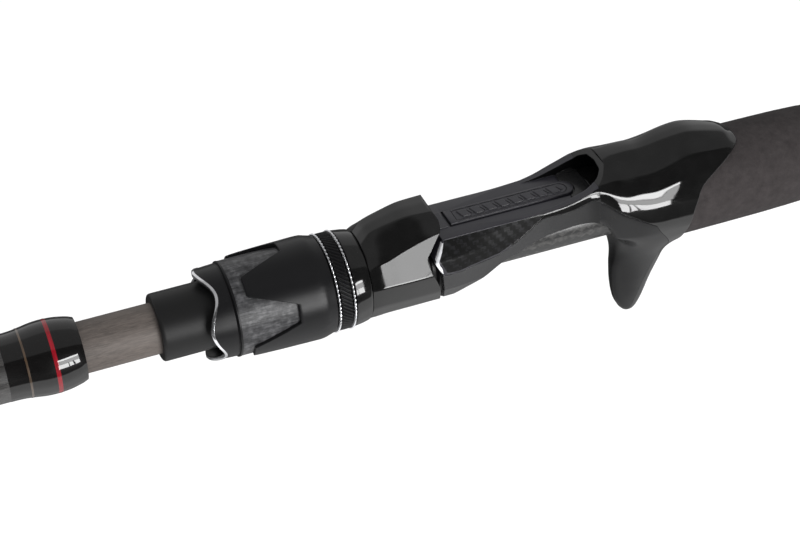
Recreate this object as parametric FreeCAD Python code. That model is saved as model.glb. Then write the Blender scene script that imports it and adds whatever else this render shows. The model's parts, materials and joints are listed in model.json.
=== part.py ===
"""Two-piece baitcasting fishing rod, one STEP file per part.

Lengths are in millimetres.  Every part is drawn in rod coordinates: the rod's
axis is the X axis, the tip is towards -X, the reel sits on +Z and the trigger
hangs towards -Z.  place() moves a finished part so that the origin is the
middle of the flat strip the reel foot stands on.
"""
import math
import os

import FreeCAD
import Part

# ---- where the origin is, in rod coordinates ----
ORIGIN_X = 49.5
STRIP_TOP_Z = 10.2

# ---- blank and ferrule ----
SPIGOT_R = 6.35
SPIGOT_FRONT_X = -130.0
SPIGOT_REAR_X = -40.0
BLANK_BORE_R = 4.4
BLANK_PROFILE = ((-40.0, 6.35), (20.0, 6.6), (75.0, 6.8), (200.0, 7.0), (324.0, 7.1))
BLANK_END_X = 324.0
FERRULE_CLEARANCE = 0.05
FERRULE_DEPTH = 70.0
TIP_MOUTH_X = -62.0
TIP_SEAT_R = 7.15
WRAP_SEAT_END_X = -79.6
TIP_END_X = -1340.0
TIP_PROFILE = ((-79.6, 8.1), (-300.0, 6.9), (-520.0, 5.7), (-735.0, 4.5), (-905.0, 3.6),
               (-1040.0, 2.9), (-1155.0, 2.3), (-1255.0, 1.7), (-1340.0, 1.25))
TIP_WALL = 1.1
TIP_HOLLOW_END_X = -735.0

# ---- reel seat ----
SLEEVE_FRONT_X = -43.5
SLEEVE_REAR_X = -26.0
SLEEVE_R = 8.45
BARREL_FRONT_X = -26.0
BARREL_REAR_X = 31.0
THREAD_CREST_R = 9.9
THREAD_ROOT_R = 9.3
THREAD_PITCH = 3.0
PLATFORM_Z = 9.7
STRIP_HALF_WIDTH = 3.1
STRIP_FRONT_X = 31.5
STRIP_REAR_X = 67.5
STRIP_DEPTH = 0.9
KEY_HALF_WIDTH = 2.0
KEY_FLOOR_Z = 9.45
STATION_STEP = 2.4

# ---- moving hood and nut ----
RUN_R = 9.97
HOOD_FRONT_X = 8.7
HOOD_SPIGOT_R = 10.6
HOOD_FLANGE_R = 11.0
CAPTURE_GAP = 0.08
CROWN_WAVES = 4
FINGERS = 4
FINGER_PHASE_DEG = 58.0
CROWN_TIP_X = -32.3
CROWN_DIP_X = -29.4
CROWN_REAR_X = -25.9
SHROUD_FRONT_X = -22.2
WINDOW_REAR_X = -10.6
SHROUD_REAR_X = -0.9
RING_REAR_X = 4.2

# ---- grips ----
GRIP_RISE = 1.4
GRIP_STATIONS = ((92.0, 12.7, GRIP_RISE), (117.0, 12.7, GRIP_RISE), (135.0, 12.35, GRIP_RISE),
                 (152.0, 11.5, 0.7), (166.0, 10.5, 0.2), (175.0, 9.6, 0.0))
REAR_GRIP_END_X = 175.0
BUTT_GRIP_FRONT_X = 262.0
BUTT_GRIP_REAR_X = 318.0
BUTT_GRIP_R = 12.5
BUTT_END_X = 330.0

# ---- line guides: position, ring inner radius, ring centre above the blank, feet ----
GUIDES = ((-520.0, 5.6, 13.0, 2), (-735.0, 4.3, 10.0, 2), (-905.0, 3.5, 7.6, 1),
          (-1040.0, 2.9, 6.4, 1), (-1155.0, 2.6, 5.8, 1), (-1255.0, 2.5, 5.4, 1))
RING_WALL = 0.9
HOUSING_WALL = 0.8
RING_THICK = 1.7
FOOT_THICK = 0.8
FOOT_LENGTH = 16.0
TIPTOP_RING_R = 2.5

# Half outlines (y, z) of the seat moulding, from its top centre to its bottom centre.
SEAT_SECTIONS = (
    (22.0, ((0, 9.9), (5.0, 9.8), (7.35, 9.7), (8.9, 8.3), (11.35, 6.0), (11.8, 2.1), (10.9, -3.2),
            (8.4, -7.3), (4.4, -10.2), (0, -11.0))),
    (30.0, ((0, 9.9), (5.0, 9.8), (7.35, 9.7), (8.9, 8.3), (11.35, 6.0), (11.8, 2.0), (10.9, -3.2),
            (8.4, -7.3), (4.4, -10.2), (0, -11.0))),
    (34.0, ((0, 9.9), (5.0, 9.8), (7.35, 9.7), (8.7, 8.3), (10.85, 5.9), (11.25, 2.2), (10.6, -3.2),
            (8.4, -7.3), (4.4, -10.2), (0, -11.0))),
    (40.0, ((0, 9.9), (5.0, 9.8), (7.4, 9.7), (8.35, 8.4), (9.9, 5.8), (10.3, 2.5), (9.9, -3.2),
            (8.2, -7.3), (4.4, -10.2), (0, -11.0))),
    (44.0, ((0, 9.95), (5.0, 9.85), (7.4, 9.7), (8.1, 8.6), (9.2, 5.9), (9.6, 2.9), (9.4, -3.2),
            (8.0, -7.3), (4.4, -10.2), (0, -11.0))),
    (48.0, ((0, 10.0), (5.0, 9.9), (7.5, 9.7), (7.9, 8.9), (8.6, 6.2), (9.0, 4.3), (8.9, -3.2),
            (7.8, -7.3), (4.4, -10.2), (0, -11.0))),
    (52.0, ((0, 10.2), (5.0, 10.05), (7.6, 9.75), (7.85, 9.2), (8.25, 7.7), (8.6, 6.2), (8.6, -3.2),
            (7.7, -7.3), (4.4, -10.2), (0, -11.0))),
    (56.0, ((0, 10.9), (5.2, 10.7), (7.8, 9.95), (7.95, 9.6), (8.15, 9.1), (8.35, 8.5), (8.4, -3.3),
            (7.7, -7.4), (4.4, -10.3), (0, -11.1))),
    (60.0, ((0, 12.1), (5.5, 11.8), (8.2, 10.5), (8.4, 10.0), (8.65, 9.5), (8.85, 8.9), (8.6, -3.4),
            (7.8, -7.5), (4.4, -10.4), (0, -11.2))),
    (64.0, ((0, 14.3), (5.6, 13.9), (8.5, 11.6), (8.8, 10.9), (9.1, 10.2), (9.3, 9.6), (8.9, -3.5),
            (7.9, -7.7), (4.4, -10.5), (0, -11.3))),
    (68.0, ((0, 15.9), (5.4, 15.6), (8.6, 12.9), (9.2, 12.1), (9.7, 11.4), (10.1, 10.8), (9.7, -3.6),
            (8.1, -7.8), (4.4, -10.6), (0, -11.4))),
    (71.6, ((0, 17.2), (5.0, 16.9), (8.4, 14.0), (9.7, 12.5), (10.7, 11.2), (11.4, 9.3), (10.7, -3.8),
            (8.5, -8.0), (4.4, -10.8), (0, -11.5))),
    (75.0, ((0, 17.9), (2.3, 17.8), (8.0, 14.2), (10.3, 11.6), (11.6, 9.2), (12.2, 6.0), (11.1, -3.8),
            (8.5, -8.0), (4.4, -10.8), (0, -11.5))),
    (80.0, ((0, 18.3), (2.5, 18.1), (7.6, 14.1), (10.5, 11.0), (12.1, 7.9), (12.4, 1.7), (11.3, -3.9),
            (8.6, -8.1), (4.4, -10.8), (0, -11.5))),
    (86.0, ((0, 18.1), (2.4, 17.9), (7.8, 13.9), (10.8, 11.2), (12.5, 8.2), (12.8, 1.8), (11.5, -4.0),
            (8.6, -8.2), (4.4, -10.8), (0, -11.5))),
    (92.0, ((0, 19.3), (2.9, 19.1), (8.0, 14.7), (11.2, 11.6), (12.9, 8.6), (13.2, 2.0), (11.7, -4.0),
            (8.7, -8.2), (4.4, -10.8), (0, -11.5))),
    (98.0, ((0, 19.8), (3.0, 19.6), (8.2, 15.8), (11.5, 12.8), (13.2, 9.2), (13.4, 2.2), (12.0, -4.0),
            (8.9, -8.4), (4.5, -11.0), (0, -11.7))),
    (104.0, ((0, 18.5), (2.7, 18.3), (7.6, 15.3), (11.0, 12.7), (12.9, 9.3), (13.4, 2.4), (12.0, -3.8),
             (8.9, -8.3), (4.5, -10.9), (0, -11.6))),
    (109.0, ((0, 16.9), (2.2, 16.7), (6.4, 14.8), (9.6, 12.2), (12.2, 8.8), (13.3, 2.6), (12.0, -3.6),
             (8.9, -8.2), (4.5, -10.8), (0, -11.5))),
    (112.4, ((0, 14.9), (2.0, 14.8), (5.6, 13.5), (8.6, 11.6), (11.6, 8.4), (13.2, 2.8), (11.9, -3.4),
             (8.8, -8.1), (4.4, -10.7), (0, -11.4))),
)
# Half outlines of the moving hood.
HOOD_SECTIONS = (
    (8.7, ((0, 11.5), (3.0, 11.15), (9.0, 7.1), (11.2, 2.5), (10.9, -3.4), (8.2, -8.0),
           (4.2, -10.6), (0, -11.4))),
    (10.6, ((0, 13.9), (3.0, 13.6), (9.2, 8.2), (11.6, 2.7), (11.0, -3.2), (8.2, -8.0),
            (4.2, -10.6), (0, -11.4))),
    (13.0, ((0, 14.8), (3.05, 14.6), (9.2, 8.6), (11.8, 2.8), (11.0, -3.1), (8.1, -7.9),
            (4.2, -10.5), (0, -11.3))),
    (17.0, ((0, 15.8), (3.2, 15.6), (8.9, 9.9), (12.1, 2.9), (11.1, -3.1), (8.1, -7.9),
            (4.2, -10.5), (0, -11.3))),
    (20.5, ((0, 16.5), (3.4, 16.3), (8.6, 10.9), (12.2, 2.9), (11.1, -3.1), (8.1, -7.9),
            (4.2, -10.5), (0, -11.3))),
    (25.0, ((0, 16.5), (3.7, 16.3), (8.4, 12.1), (12.2, 2.9), (11.1, -3.1), (8.1, -7.9),
            (4.2, -10.5), (0, -11.3))),
    (30.0, ((0, 16.4), (3.9, 16.2), (8.4, 13.0), (12.2, 2.9), (11.1, -3.1), (8.1, -7.9),
            (4.2, -10.5), (0, -11.3))),
)
# Half outlines of the room inside the moving hood.
HOOD_ROOM_SECTIONS = (
    (13.5, ((0, 13.6), (2.7, 13.3), (7.6, 8.1), (7.4, 6.0), (0, 6.0))),
    (17.0, ((0, 14.7), (2.9, 14.4), (7.4, 9.2), (7.3, 6.0), (0, 6.0))),
    (20.5, ((0, 15.4), (3.1, 15.1), (7.2, 10.2), (7.2, 6.0), (0, 6.0))),
    (25.0, ((0, 15.7), (3.4, 15.4), (7.0, 11.4), (7.2, 6.0), (0, 6.0))),
    (40.0, ((0, 15.7), (3.6, 15.4), (7.0, 12.2), (7.2, 6.0), (0, 6.0))),
)
# Half outlines of the room inside the fixed hood.
POCKET_SECTIONS = (
    (50.0, ((0, 9.7), (6.4, 9.7), (6.4, 12.6), (5.5, 14.6), (3.6, 15.9), (0, 16.3))),
    (74.0, ((0, 9.7), (6.4, 9.7), (6.4, 12.4), (5.5, 14.4), (3.6, 15.7), (0, 16.1))),
    (84.0, ((0, 9.7), (6.0, 9.7), (6.0, 10.9), (5.0, 12.3), (3.2, 13.1), (0, 13.4))),
)
# Trigger outlines: height, front, rear, half width.
TRIGGER_SECTIONS = (
    (-4.5, 75.6, 99.5, 11.2), (-7.0, 77.0, 98.4, 9.7), (-9.2, 78.0, 97.2, 7.8), (-11.5, 78.7, 95.9, 6.1),
    (-14.5, 78.9, 94.7, 4.8), (-18.5, 78.9, 93.2, 4.1), (-23.7, 79.1, 91.1, 3.7), (-28.0, 79.7, 89.6, 3.4),
    (-31.0, 80.5, 88.6, 3.0), (-34.0, 82.0, 87.3, 2.2), (-35.4, 83.2, 86.4, 1.3), (-35.9, 84.1, 85.6, 0.6),
)
# Side outlines (x, z) that trim the moulding and the hood.
HOOD_REAR_EDGE = ((27.2, 17.5), (26.6, 13.5), (25.8, 12.0), (24.1, 8.7), (23.4, 7.0), (24.2, 3.1),
                  (25.4, 0.3), (26.5, -3.5), (28.0, -12.0))
SEAT_FRONT_EDGE = ((28.9, 11.0), (28.3, 9.2), (25.1, 6.1), (26.8, 2.3), (27.6, -4.3), (29.3, -12.0))
UNDERCUT = ((30.5, -14.0), (30.5, -7.5), (34.1, -5.2), (38.4, -3.25), (44.1, -0.4),
            (48.9, 0.7), (54.4, 2.4), (59.9, 3.6), (65.1, 4.3), (68.9, 4.1), (71.4, 3.2),
            (73.3, 1.0), (75.4, -3.0), (77.0, -6.5), (78.4, -10.4), (78.8, -14.0))
RAIL_TOP_EDGE = ((20.0, 2.2), (31.3, 1.9), (35.6, 2.2), (43.0, 2.5), (48.7, 4.5), (54.05, 7.6),
                 (56.2, 8.6), (62.3, 9.1), (66.0, 10.4), (69.4, 11.3), (72.5, 8.9), (80.5, 3.7),
                 (84.7, 1.2), (86.1, 0.7), (92.7, 0.2), (104.0, 0.0))
SEAT_REAR_EDGE = ((93.4, -14.0), (94.0, -5.0), (95.4, 1.2), (97.0, 5.4), (98.8, 8.2), (102.5, 10.6),
                  (106.5, 12.5), (109.3, 13.8), (112.6, 14.3))
MOUTH_EDGE = ((10.0, 9.7), (56.0, 9.7), (60.0, 10.35), (64.0, 11.4), (68.0, 12.7), (70.5, 14.0),
              (72.6, 15.6), (74.0, 17.2), (74.3, 40.0), (10.0, 40.0))
PANEL_OUTLINE = ((28.7, 9.0), (26.3, 6.1), (27.9, 2.6), (31.3, 2.4), (35.6, 2.7), (43.0, 3.0),
                 (48.7, 5.0), (53.2, 7.9), (54.2, 8.9))


V = FreeCAD.Vector


def polygon(points):
    """Closed straight-sided wire through the points."""
    return Part.makePolygon([V(*p) for p in points] + [V(*points[0])])


def side_prism(outline, y_low=-40.0, y_high=40.0):
    """Solid with a side outline (x, z), running across the rod."""
    face = Part.Face(polygon([(x, y_low, z) for x, z in outline]))
    return face.extrude(V(0, y_high - y_low, 0))


def eased(values, t):
    """Point between the middle two of four values on a smooth curve."""
    p0, p1, p2, p3 = values
    a = 2.0 * p1
    b = (p2 - p0) * t
    c = (2.0 * p0 - 5.0 * p1 + 4.0 * p2 - p3) * t * t
    d = (3.0 * p1 - p0 - 3.0 * p2 + p3) * t ** 3
    return 0.5 * (a + b + c + d)


def refined(sections):
    """More half outlines between the given ones, on smooth curves."""
    ends = [sections[0]] + list(sections) + [sections[-1]]
    result = []
    for i in range(len(sections) - 1):
        four = ends[i:i + 4]
        count = max(1, int(round((four[2][0] - four[1][0]) / STATION_STEP)))
        for k in range(count):
            t = k / count
            x = four[1][0] + (four[2][0] - four[1][0]) * t
            half = []
            for j in range(len(four[1][1])):
                y = eased([section[1][j][0] for section in four], t)
                z = eased([section[1][j][1] for section in four], t)
                half.append((y, z))
            result.append((x, half))
    return result + [sections[-1]]


def half_loft(sections):
    """Solid through mirrored half outlines; its long edges stay crisp."""
    wires = []
    for x, half in refined(sections):
        right = [(x, y, z) for y, z in half]
        left = [(x, -y, z) for y, z in reversed(half[1:-1])]
        wires.append(polygon(right + left))
    return Part.makeLoft(wires, True, True)


def turned(profile):
    """Solid of revolution about the rod axis from (x, radius) points."""
    wire = polygon([(x, 0, r) for x, r in profile])
    return Part.Face(wire).revolve(V(0, 0, 0), V(1, 0, 0), 360)


def rod_cylinder(x_low, x_high, radius):
    return Part.makeCylinder(radius, x_high - x_low, V(x_low, 0, 0), V(1, 0, 0))


def tube(x_low, x_high, inner, outer):
    return rod_cylinder(x_low, x_high, outer).cut(rod_cylinder(x_low, x_high, inner))


def box(x_low, x_high, y_half, z_low, z_high):
    return Part.makeBox(x_high - x_low, 2 * y_half, z_high - z_low, V(x_low, -y_half, z_low))


def biggest(shape):
    """The largest solid of a shape, cleaned of seams."""
    solid = max(shape.Solids, key=lambda s: s.Volume)
    return solid.removeSplitter()


def radius_at(profile, x):
    """Radius of a tapered tube at a station."""
    points = sorted(profile)
    for (xa, ra), (xb, rb) in zip(points, points[1:]):
        if xa <= x <= xb:
            return ra + (rb - ra) * (x - xa) / (xb - xa)
    return points[-1][1] if x > points[-1][0] else points[0][1]


# ---------------------------------------------------------------- handle

def handle_blank():
    outer = [(SPIGOT_FRONT_X, SPIGOT_R - 0.5), (SPIGOT_FRONT_X + 1.0, SPIGOT_R)]
    outer += [p for p in BLANK_PROFILE]
    inner = [(BLANK_END_X, BLANK_BORE_R), (SPIGOT_FRONT_X, BLANK_BORE_R)]
    return turned(outer + inner)


def blank_front_plug():
    return rod_cylinder(SPIGOT_FRONT_X, SPIGOT_FRONT_X + 8.0, BLANK_BORE_R)


def blank_end_plug():
    return rod_cylinder(BLANK_END_X - 12.0, BLANK_END_X, BLANK_BORE_R)


def seat_front_sleeve(blank):
    lip = SLEEVE_R - 0.7
    body = turned([(SLEEVE_FRONT_X, 5.0), (SLEEVE_FRONT_X, lip), (SLEEVE_FRONT_X + 0.2, lip + 0.4),
                   (SLEEVE_FRONT_X + 0.8, SLEEVE_R), (SLEEVE_REAR_X, SLEEVE_R), (SLEEVE_REAR_X, 5.0)])
    return biggest(body.cut(blank))


def seat_barrel(blank):
    """Threaded barrel; the thread is drawn as rounded rings."""
    profile = [(BARREL_FRONT_X, 5.0), (BARREL_FRONT_X, THREAD_ROOT_R)]
    count = int((BARREL_REAR_X - BARREL_FRONT_X - 2.0) / THREAD_PITCH)
    for i in range(count):
        x = BARREL_FRONT_X + 1.0 + i * THREAD_PITCH
        profile += [(x, THREAD_ROOT_R), (x + 0.7, THREAD_CREST_R)]
        profile += [(x + 1.5, THREAD_CREST_R), (x + 2.2, THREAD_ROOT_R)]
    profile += [(BARREL_REAR_X, THREAD_ROOT_R), (BARREL_REAR_X, 5.0)]
    keyway = box(BARREL_FRONT_X - 1.0, BARREL_REAR_X + 1.0, KEY_HALF_WIDTH + CAPTURE_GAP,
                 KEY_FLOOR_Z - 0.1, 20.0)
    return biggest(turned(profile).cut(blank).cut(keyway))


def seat_solid():
    """Whole outside of the moulding with its front, rear and underside trimmed."""
    body = half_loft(SEAT_SECTIONS)
    ahead = list(SEAT_FRONT_EDGE) + [(10.0, -40.0), (10.0, 40.0)]
    body = body.cut(side_prism(ahead))
    behind = list(SEAT_REAR_EDGE) + [(140.0, 14.3), (140.0, -14.0)]
    body = body.cut(side_prism(behind))
    body = body.cut(side_prism(UNDERCUT))
    return body.cut(rod_cylinder(20.0, BARREL_REAR_X, THREAD_CREST_R + 0.0))


def pocket():
    """Space above the platform and inside the fixed hood."""
    return side_prism(MOUTH_EDGE).fuse(half_loft(POCKET_SECTIONS))


def trigger_solid():
    """Finger trigger with rounded outlines that shrink towards its tip."""
    wires = []
    sides = 20
    for z, front, rear, half in TRIGGER_SECTIONS:
        middle, reach = 0.5 * (front + rear), 0.5 * (rear - front)
        ring = []
        for k in range(sides):
            angle = 2.0 * math.pi * k / sides
            ring.append((middle + reach * math.cos(angle), half * math.sin(angle), z))
        wires.append(polygon(ring))
    return Part.makeLoft(wires, True, True)


def rail_region():
    return side_prism(list(RAIL_TOP_EDGE) + [(104.0, -60.0), (20.0, -60.0)])


def strip_solid():
    """Raised strip with a round rear end, let into the platform."""
    z_low = STRIP_TOP_Z - STRIP_DEPTH
    bar = box(STRIP_FRONT_X, STRIP_REAR_X - STRIP_HALF_WIDTH, STRIP_HALF_WIDTH, z_low, STRIP_TOP_Z)
    end = Part.makeCylinder(STRIP_HALF_WIDTH, STRIP_DEPTH, V(STRIP_REAR_X - STRIP_HALF_WIDTH, 0, z_low))
    return bar.fuse(end).removeSplitter()


def panel_solid(outer, side):
    """Thin inlay on one side of the moulding."""
    low, high = (0.0, 40.0) if side > 0 else (-40.0, 0.0)
    matrix = FreeCAD.Matrix()
    matrix.scale(V(1.0, 0.93, 1.0))
    core = outer.transformGeometry(matrix)
    skin = outer.common(side_prism(PANEL_OUTLINE, low, high))
    return biggest(skin.cut(core))


def seat_parts(blank, barrel):
    """The fixed moulding split into its separate pieces."""
    hollow = pocket()
    outer = seat_solid()
    keep_out = [blank, barrel, hollow]
    strip = strip_solid()
    panels = {"side_panel_right": panel_solid(outer, 1), "side_panel_left": panel_solid(outer, -1)}
    shell = outer
    for piece in keep_out + [strip] + list(panels.values()):
        shell = shell.cut(piece)
    region = rail_region()
    rail = outer.common(region)
    lower = trigger_solid().cut(rod_cylinder(60.0, 110.0, 10.6))
    rail = rail.fuse(lower)
    for piece in keep_out + [strip] + list(panels.values()):
        rail = rail.cut(piece)
    above = shell.cut(region)
    split = side_prism([(70.4, 60.0), (70.4, 0.0), (130.0, 0.0), (130.0, 60.0)])
    low_split = side_prism([(70.4, 0.0), (70.4, -60.0), (130.0, -60.0), (130.0, 0.0)])
    rear = split.fuse(low_split)
    parts = {
        "seat_platform": biggest(above.cut(rear)),
        "palm_shell": biggest(above.common(rear)),
        "trigger_rail": biggest(rail),
        "deck_strip": strip,
    }
    parts.update(panels)
    return parts


def rear_grip(blank, taken):
    wires = []
    for x, radius, rise in GRIP_STATIONS:
        circle = Part.Circle(V(x, 0, rise), V(1, 0, 0), radius)
        wires.append(Part.Wire(circle.toShape()))
    body = Part.makeLoft(wires, True, True)
    ahead = [(85.0, -40.0), (93.4, -40.0)] + list(SEAT_REAR_EDGE) + [(112.6, 40.0), (85.0, 40.0)]
    body = body.cut(side_prism(ahead))
    for piece in taken:
        body = body.cut(piece)
    return biggest(body.cut(blank))


def grip_trim(blank, x_low, x_high, radius):
    mid = 0.5 * (x_low + x_high)
    body = turned([(x_low, 5.0), (x_low, radius - 0.5), (mid, radius), (x_high, radius - 0.9), (x_high, 5.0)])
    return biggest(body.cut(blank))


def butt_grip(blank):
    edge = 1.2
    body = turned([(BUTT_GRIP_FRONT_X, 5.0), (BUTT_GRIP_FRONT_X, BUTT_GRIP_R - 3.0),
                   (BUTT_GRIP_FRONT_X + 6.0, BUTT_GRIP_R - edge), (BUTT_GRIP_FRONT_X + 10.0, BUTT_GRIP_R),
                   (BUTT_GRIP_REAR_X, BUTT_GRIP_R), (BUTT_GRIP_REAR_X, 5.0)])
    return biggest(body.cut(blank))


def butt_cap(blank):
    body = turned([(BUTT_GRIP_REAR_X, 0.0), (BUTT_GRIP_REAR_X, BUTT_GRIP_R),
                   (BUTT_END_X - 4.0, BUTT_GRIP_R), (BUTT_END_X - 1.2, BUTT_GRIP_R - 1.0),
                   (BUTT_END_X, BUTT_GRIP_R - 3.2), (BUTT_END_X, 0.0)])
    return biggest(body.cut(blank).cut(blank_end_plug()))


# ---------------------------------------------------------------- moving hood

def hood_parts():
    body = half_loft(HOOD_SECTIONS)
    behind = list(HOOD_REAR_EDGE) + [(60.0, -12.0), (60.0, 17.5)]
    body = body.cut(side_prism(behind))
    body = body.cut(rod_cylinder(0.0, 60.0, RUN_R))
    body = body.cut(half_loft(HOOD_ROOM_SECTIONS))
    spigot = tube(4.4, HOOD_FRONT_X + 1.0, RUN_R, HOOD_SPIGOT_R)
    flange = tube(4.4, 5.4, RUN_R, HOOD_FLANGE_R)
    key = box(4.4, 13.0, KEY_HALF_WIDTH, KEY_FLOOR_Z, RUN_R + 0.4)
    shell = biggest(body.fuse(spigot).fuse(flange).fuse(key))
    pad = side_prism([(17.0, 14.1), (17.0, 15.2), (20.5, 15.9), (25.4, 16.2), (25.4, 15.05), (20.5, 14.8)],
                     -2.8, 2.8)
    return {"hood_shell": shell, "hood_pad": biggest(pad.cut(shell))}


# ---------------------------------------------------------------- nut

def wave_cutter():
    """Removes the front of the crown so that its edge rises and falls."""
    steps = 72
    cutter = None
    for i in range(CROWN_WAVES):
        angle = math.radians(FINGER_PHASE_DEG + i * 360.0 / CROWN_WAVES)
        direction = V(0, -math.cos(angle), math.sin(angle))
        profile = []
        for k in range(steps // 6 + 1):
            u = -1.0 + 2.0 * k / (steps // 6)
            depth = 0.5 * (1.0 + math.cos(math.pi * u))
            profile.append((CROWN_TIP_X + 0.05 + (CROWN_DIP_X - CROWN_TIP_X) * depth, u * 8.6))
        across = V(1, 0, 0).cross(direction)
        points = [V(x, 0, 0) + across * w for x, w in profile]
        points += [V(CROWN_TIP_X - 3.0, 0, 0) + across * w for w in (8.6, -8.6)]
        face = Part.Face(Part.makePolygon(points + [points[0]]))
        lobe = face.extrude(direction * 20.0)
        cutter = lobe if cutter is None else cutter.fuse(lobe)
    return cutter


def nut_crown():
    """Wavy front collar of the nut."""
    body = turned([(CROWN_TIP_X, 10.7), (CROWN_TIP_X, 11.4), (CROWN_REAR_X, 11.65),
                   (CROWN_REAR_X, 10.4), (CROWN_TIP_X + 3.5, 10.4)])
    return biggest(body.cut(wave_cutter()))


def nut_core():
    """Inner tube that rides on the barrel."""
    return turned([(-28.0, RUN_R), (-28.0, 10.4), (CROWN_REAR_X, 10.4), (CROWN_REAR_X, 11.65),
                   (-25.5, 12.0), (-25.0, 12.0), (-25.0, 11.2), (3.0, 11.2), (3.0, RUN_R)])


def nut_carbon_sleeve():
    return tube(-25.0, WINDOW_REAR_X + 3.0, 11.2, 11.95)


def finger_wedge(angle_deg, half_front, half_rear):
    """Sector that keeps one tapering finger of the shroud."""
    reach = 16.0
    faces = []
    for x, half in ((SHROUD_FRONT_X - 1.0, half_front), (WINDOW_REAR_X, half_rear)):
        a = math.radians(angle_deg - half)
        b = math.radians(angle_deg + half)
        m = math.radians(angle_deg)
        far = reach / math.cos(math.radians(half))
        points = [V(x, 0, 0), V(x, -far * math.cos(a), far * math.sin(a)),
                  V(x, -1.3 * reach * math.cos(m), 1.3 * reach * math.sin(m)),
                  V(x, -far * math.cos(b), far * math.sin(b))]
        faces.append(Part.makePolygon(points + [points[0]]))
    return Part.makeLoft(faces, True, True)


def nut_shroud():
    """Outer shell with tapering fingers over the sleeve."""
    body = turned([(SHROUD_FRONT_X, 11.95), (SHROUD_FRONT_X, 12.6), (SHROUD_FRONT_X + 0.5, 12.75),
                   (-14.0, 12.98), (-5.0, 13.15), (-3.2, 13.0), (SHROUD_REAR_X, 12.3),
                   (SHROUD_REAR_X, 11.2), (-7.6, 11.2), (-7.6, 11.95)])
    ring = rod_cylinder(WINDOW_REAR_X, 5.0, 20.0)
    keep = ring
    for i in range(FINGERS):
        keep = keep.fuse(finger_wedge(FINGER_PHASE_DEG + i * 360.0 / FINGERS, 12.0, 33.5))
    return biggest(body.common(keep))


def nut_knurled_ring():
    return tube(SHROUD_REAR_X + 1.2, RING_REAR_X - 1.2, 11.2, 12.35)


def nut_bead(x_mid):
    """Bright bead on either side of the knurling."""
    return turned([(x_mid - 0.6, 11.2), (x_mid - 0.6, 12.3), (x_mid - 0.3, 12.65), (x_mid + 0.3, 12.65),
                   (x_mid + 0.6, 12.3), (x_mid + 0.6, 11.2)])


def nut_rear_collar():
    """Collar that traps the hood's flange so hood and nut travel together."""
    groove = HOOD_FLANGE_R + CAPTURE_GAP
    bore = HOOD_SPIGOT_R + CAPTURE_GAP
    return turned([(3.0, RUN_R), (3.0, 11.2), (RING_REAR_X, 11.2), (RING_REAR_X, 12.3), (5.0, 12.15),
                   (HOOD_FRONT_X - 0.2, 11.55), (HOOD_FRONT_X - 0.2, bore), (5.6, bore), (5.6, groove),
                   (4.2, groove), (4.2, RUN_R)])


# ---------------------------------------------------------------- tip section

def tip_blank():
    bore = SPIGOT_R + FERRULE_CLEARANCE
    depth_x = TIP_MOUTH_X - FERRULE_DEPTH
    outer = [(TIP_MOUTH_X, TIP_SEAT_R), (WRAP_SEAT_END_X, TIP_SEAT_R)]
    outer += [p for p in TIP_PROFILE]
    inner = [(TIP_END_X, 0.0), (TIP_HOLLOW_END_X, 0.0)]
    for x in (TIP_HOLLOW_END_X, -520.0, -300.0):
        inner.append((x, radius_at(TIP_PROFILE, x) - TIP_WALL))
    inner += [(depth_x - 10.0, bore - 0.9), (depth_x, bore), (TIP_MOUTH_X, bore)]
    return turned(outer + inner)


def ferrule_wrap(blank):
    """Thick coated thread binding at the mouth of the tip section."""
    profile = [(TIP_MOUTH_X + 0.3, 6.9), (TIP_MOUTH_X + 0.3, 7.25), (TIP_MOUTH_X, 7.6),
               (-63.2, 8.15), (-64.6, 8.5), (-66.5, 8.85), (-68.5, 9.02), (-70.5, 9.05),
               (-72.5, 8.9), (-74.5, 8.6), (-76.5, 8.32), (-78.4, 8.18), (-80.6, 8.13), (-80.6, 6.9)]
    return turned(profile).cut(blank)


def band(x_mid, width, inner, outer):
    return tube(x_mid - 0.5 * width, x_mid + 0.5 * width, inner, outer)


def tip_ferrule_parts(blank):
    wrap = ferrule_wrap(blank)
    red = band(-69.0, 1.1, 8.4, 9.1)
    gold = band(-75.6, 0.6, 8.0, 8.5)
    wrap = biggest(wrap.cut(red).cut(gold))
    return {"ferrule_wrap": wrap, "ferrule_red_ring": red, "ferrule_gold_ring": gold}


def foot_solid(x, sign, blank_r):
    """Flat foot of a guide, lying along the top of the blank."""
    start = x + sign * 1.5
    end = x + sign * (1.5 + FOOT_LENGTH)
    low, high = min(start, end), max(start, end)
    return box(low, high, 1.3, blank_r - 0.6, blank_r + FOOT_THICK)


def leg(a, b, radius):
    start, end = V(*a), V(*b)
    return Part.makeCylinder(radius, (end - start).Length, start, end - start)


def guide_frame(x, ring_r, rise, feet, blank):
    blank_r = radius_at(TIP_PROFILE, x)
    centre = blank_r + rise
    outer = ring_r + RING_WALL + HOUSING_WALL
    ring = Part.makeCylinder(outer, RING_THICK, V(x - 0.5 * RING_THICK, 0, centre), V(1, 0, 0))
    frame = ring
    wire = 0.35 + 0.09 * ring_r
    for sign in ((1, -1) if feet == 2 else (1,)):
        frame = frame.fuse(foot_solid(x, sign, blank_r))
        base_x = x + sign * (3.0 + 0.25 * rise)
        base = box(min(base_x - 1.0, base_x + 1.0), max(base_x - 1.0, base_x + 1.0), 1.3,
                   blank_r, blank_r + FOOT_THICK + 0.2)
        frame = frame.fuse(base)
        for side in (1, -1):
            spread = 0.72 * (outer - 0.5 * HOUSING_WALL)
            top = (x, side * spread, centre - 0.69 * (outer - 0.5 * HOUSING_WALL))
            bottom = (base_x, side * 0.7, blank_r + 0.5 * FOOT_THICK)
            frame = frame.fuse(leg(bottom, top, wire))
    hole = Part.makeCylinder(ring_r + RING_WALL, 60.0, V(x - 30.0, 0, centre), V(1, 0, 0))
    return biggest(frame.cut(hole).cut(blank))


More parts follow.
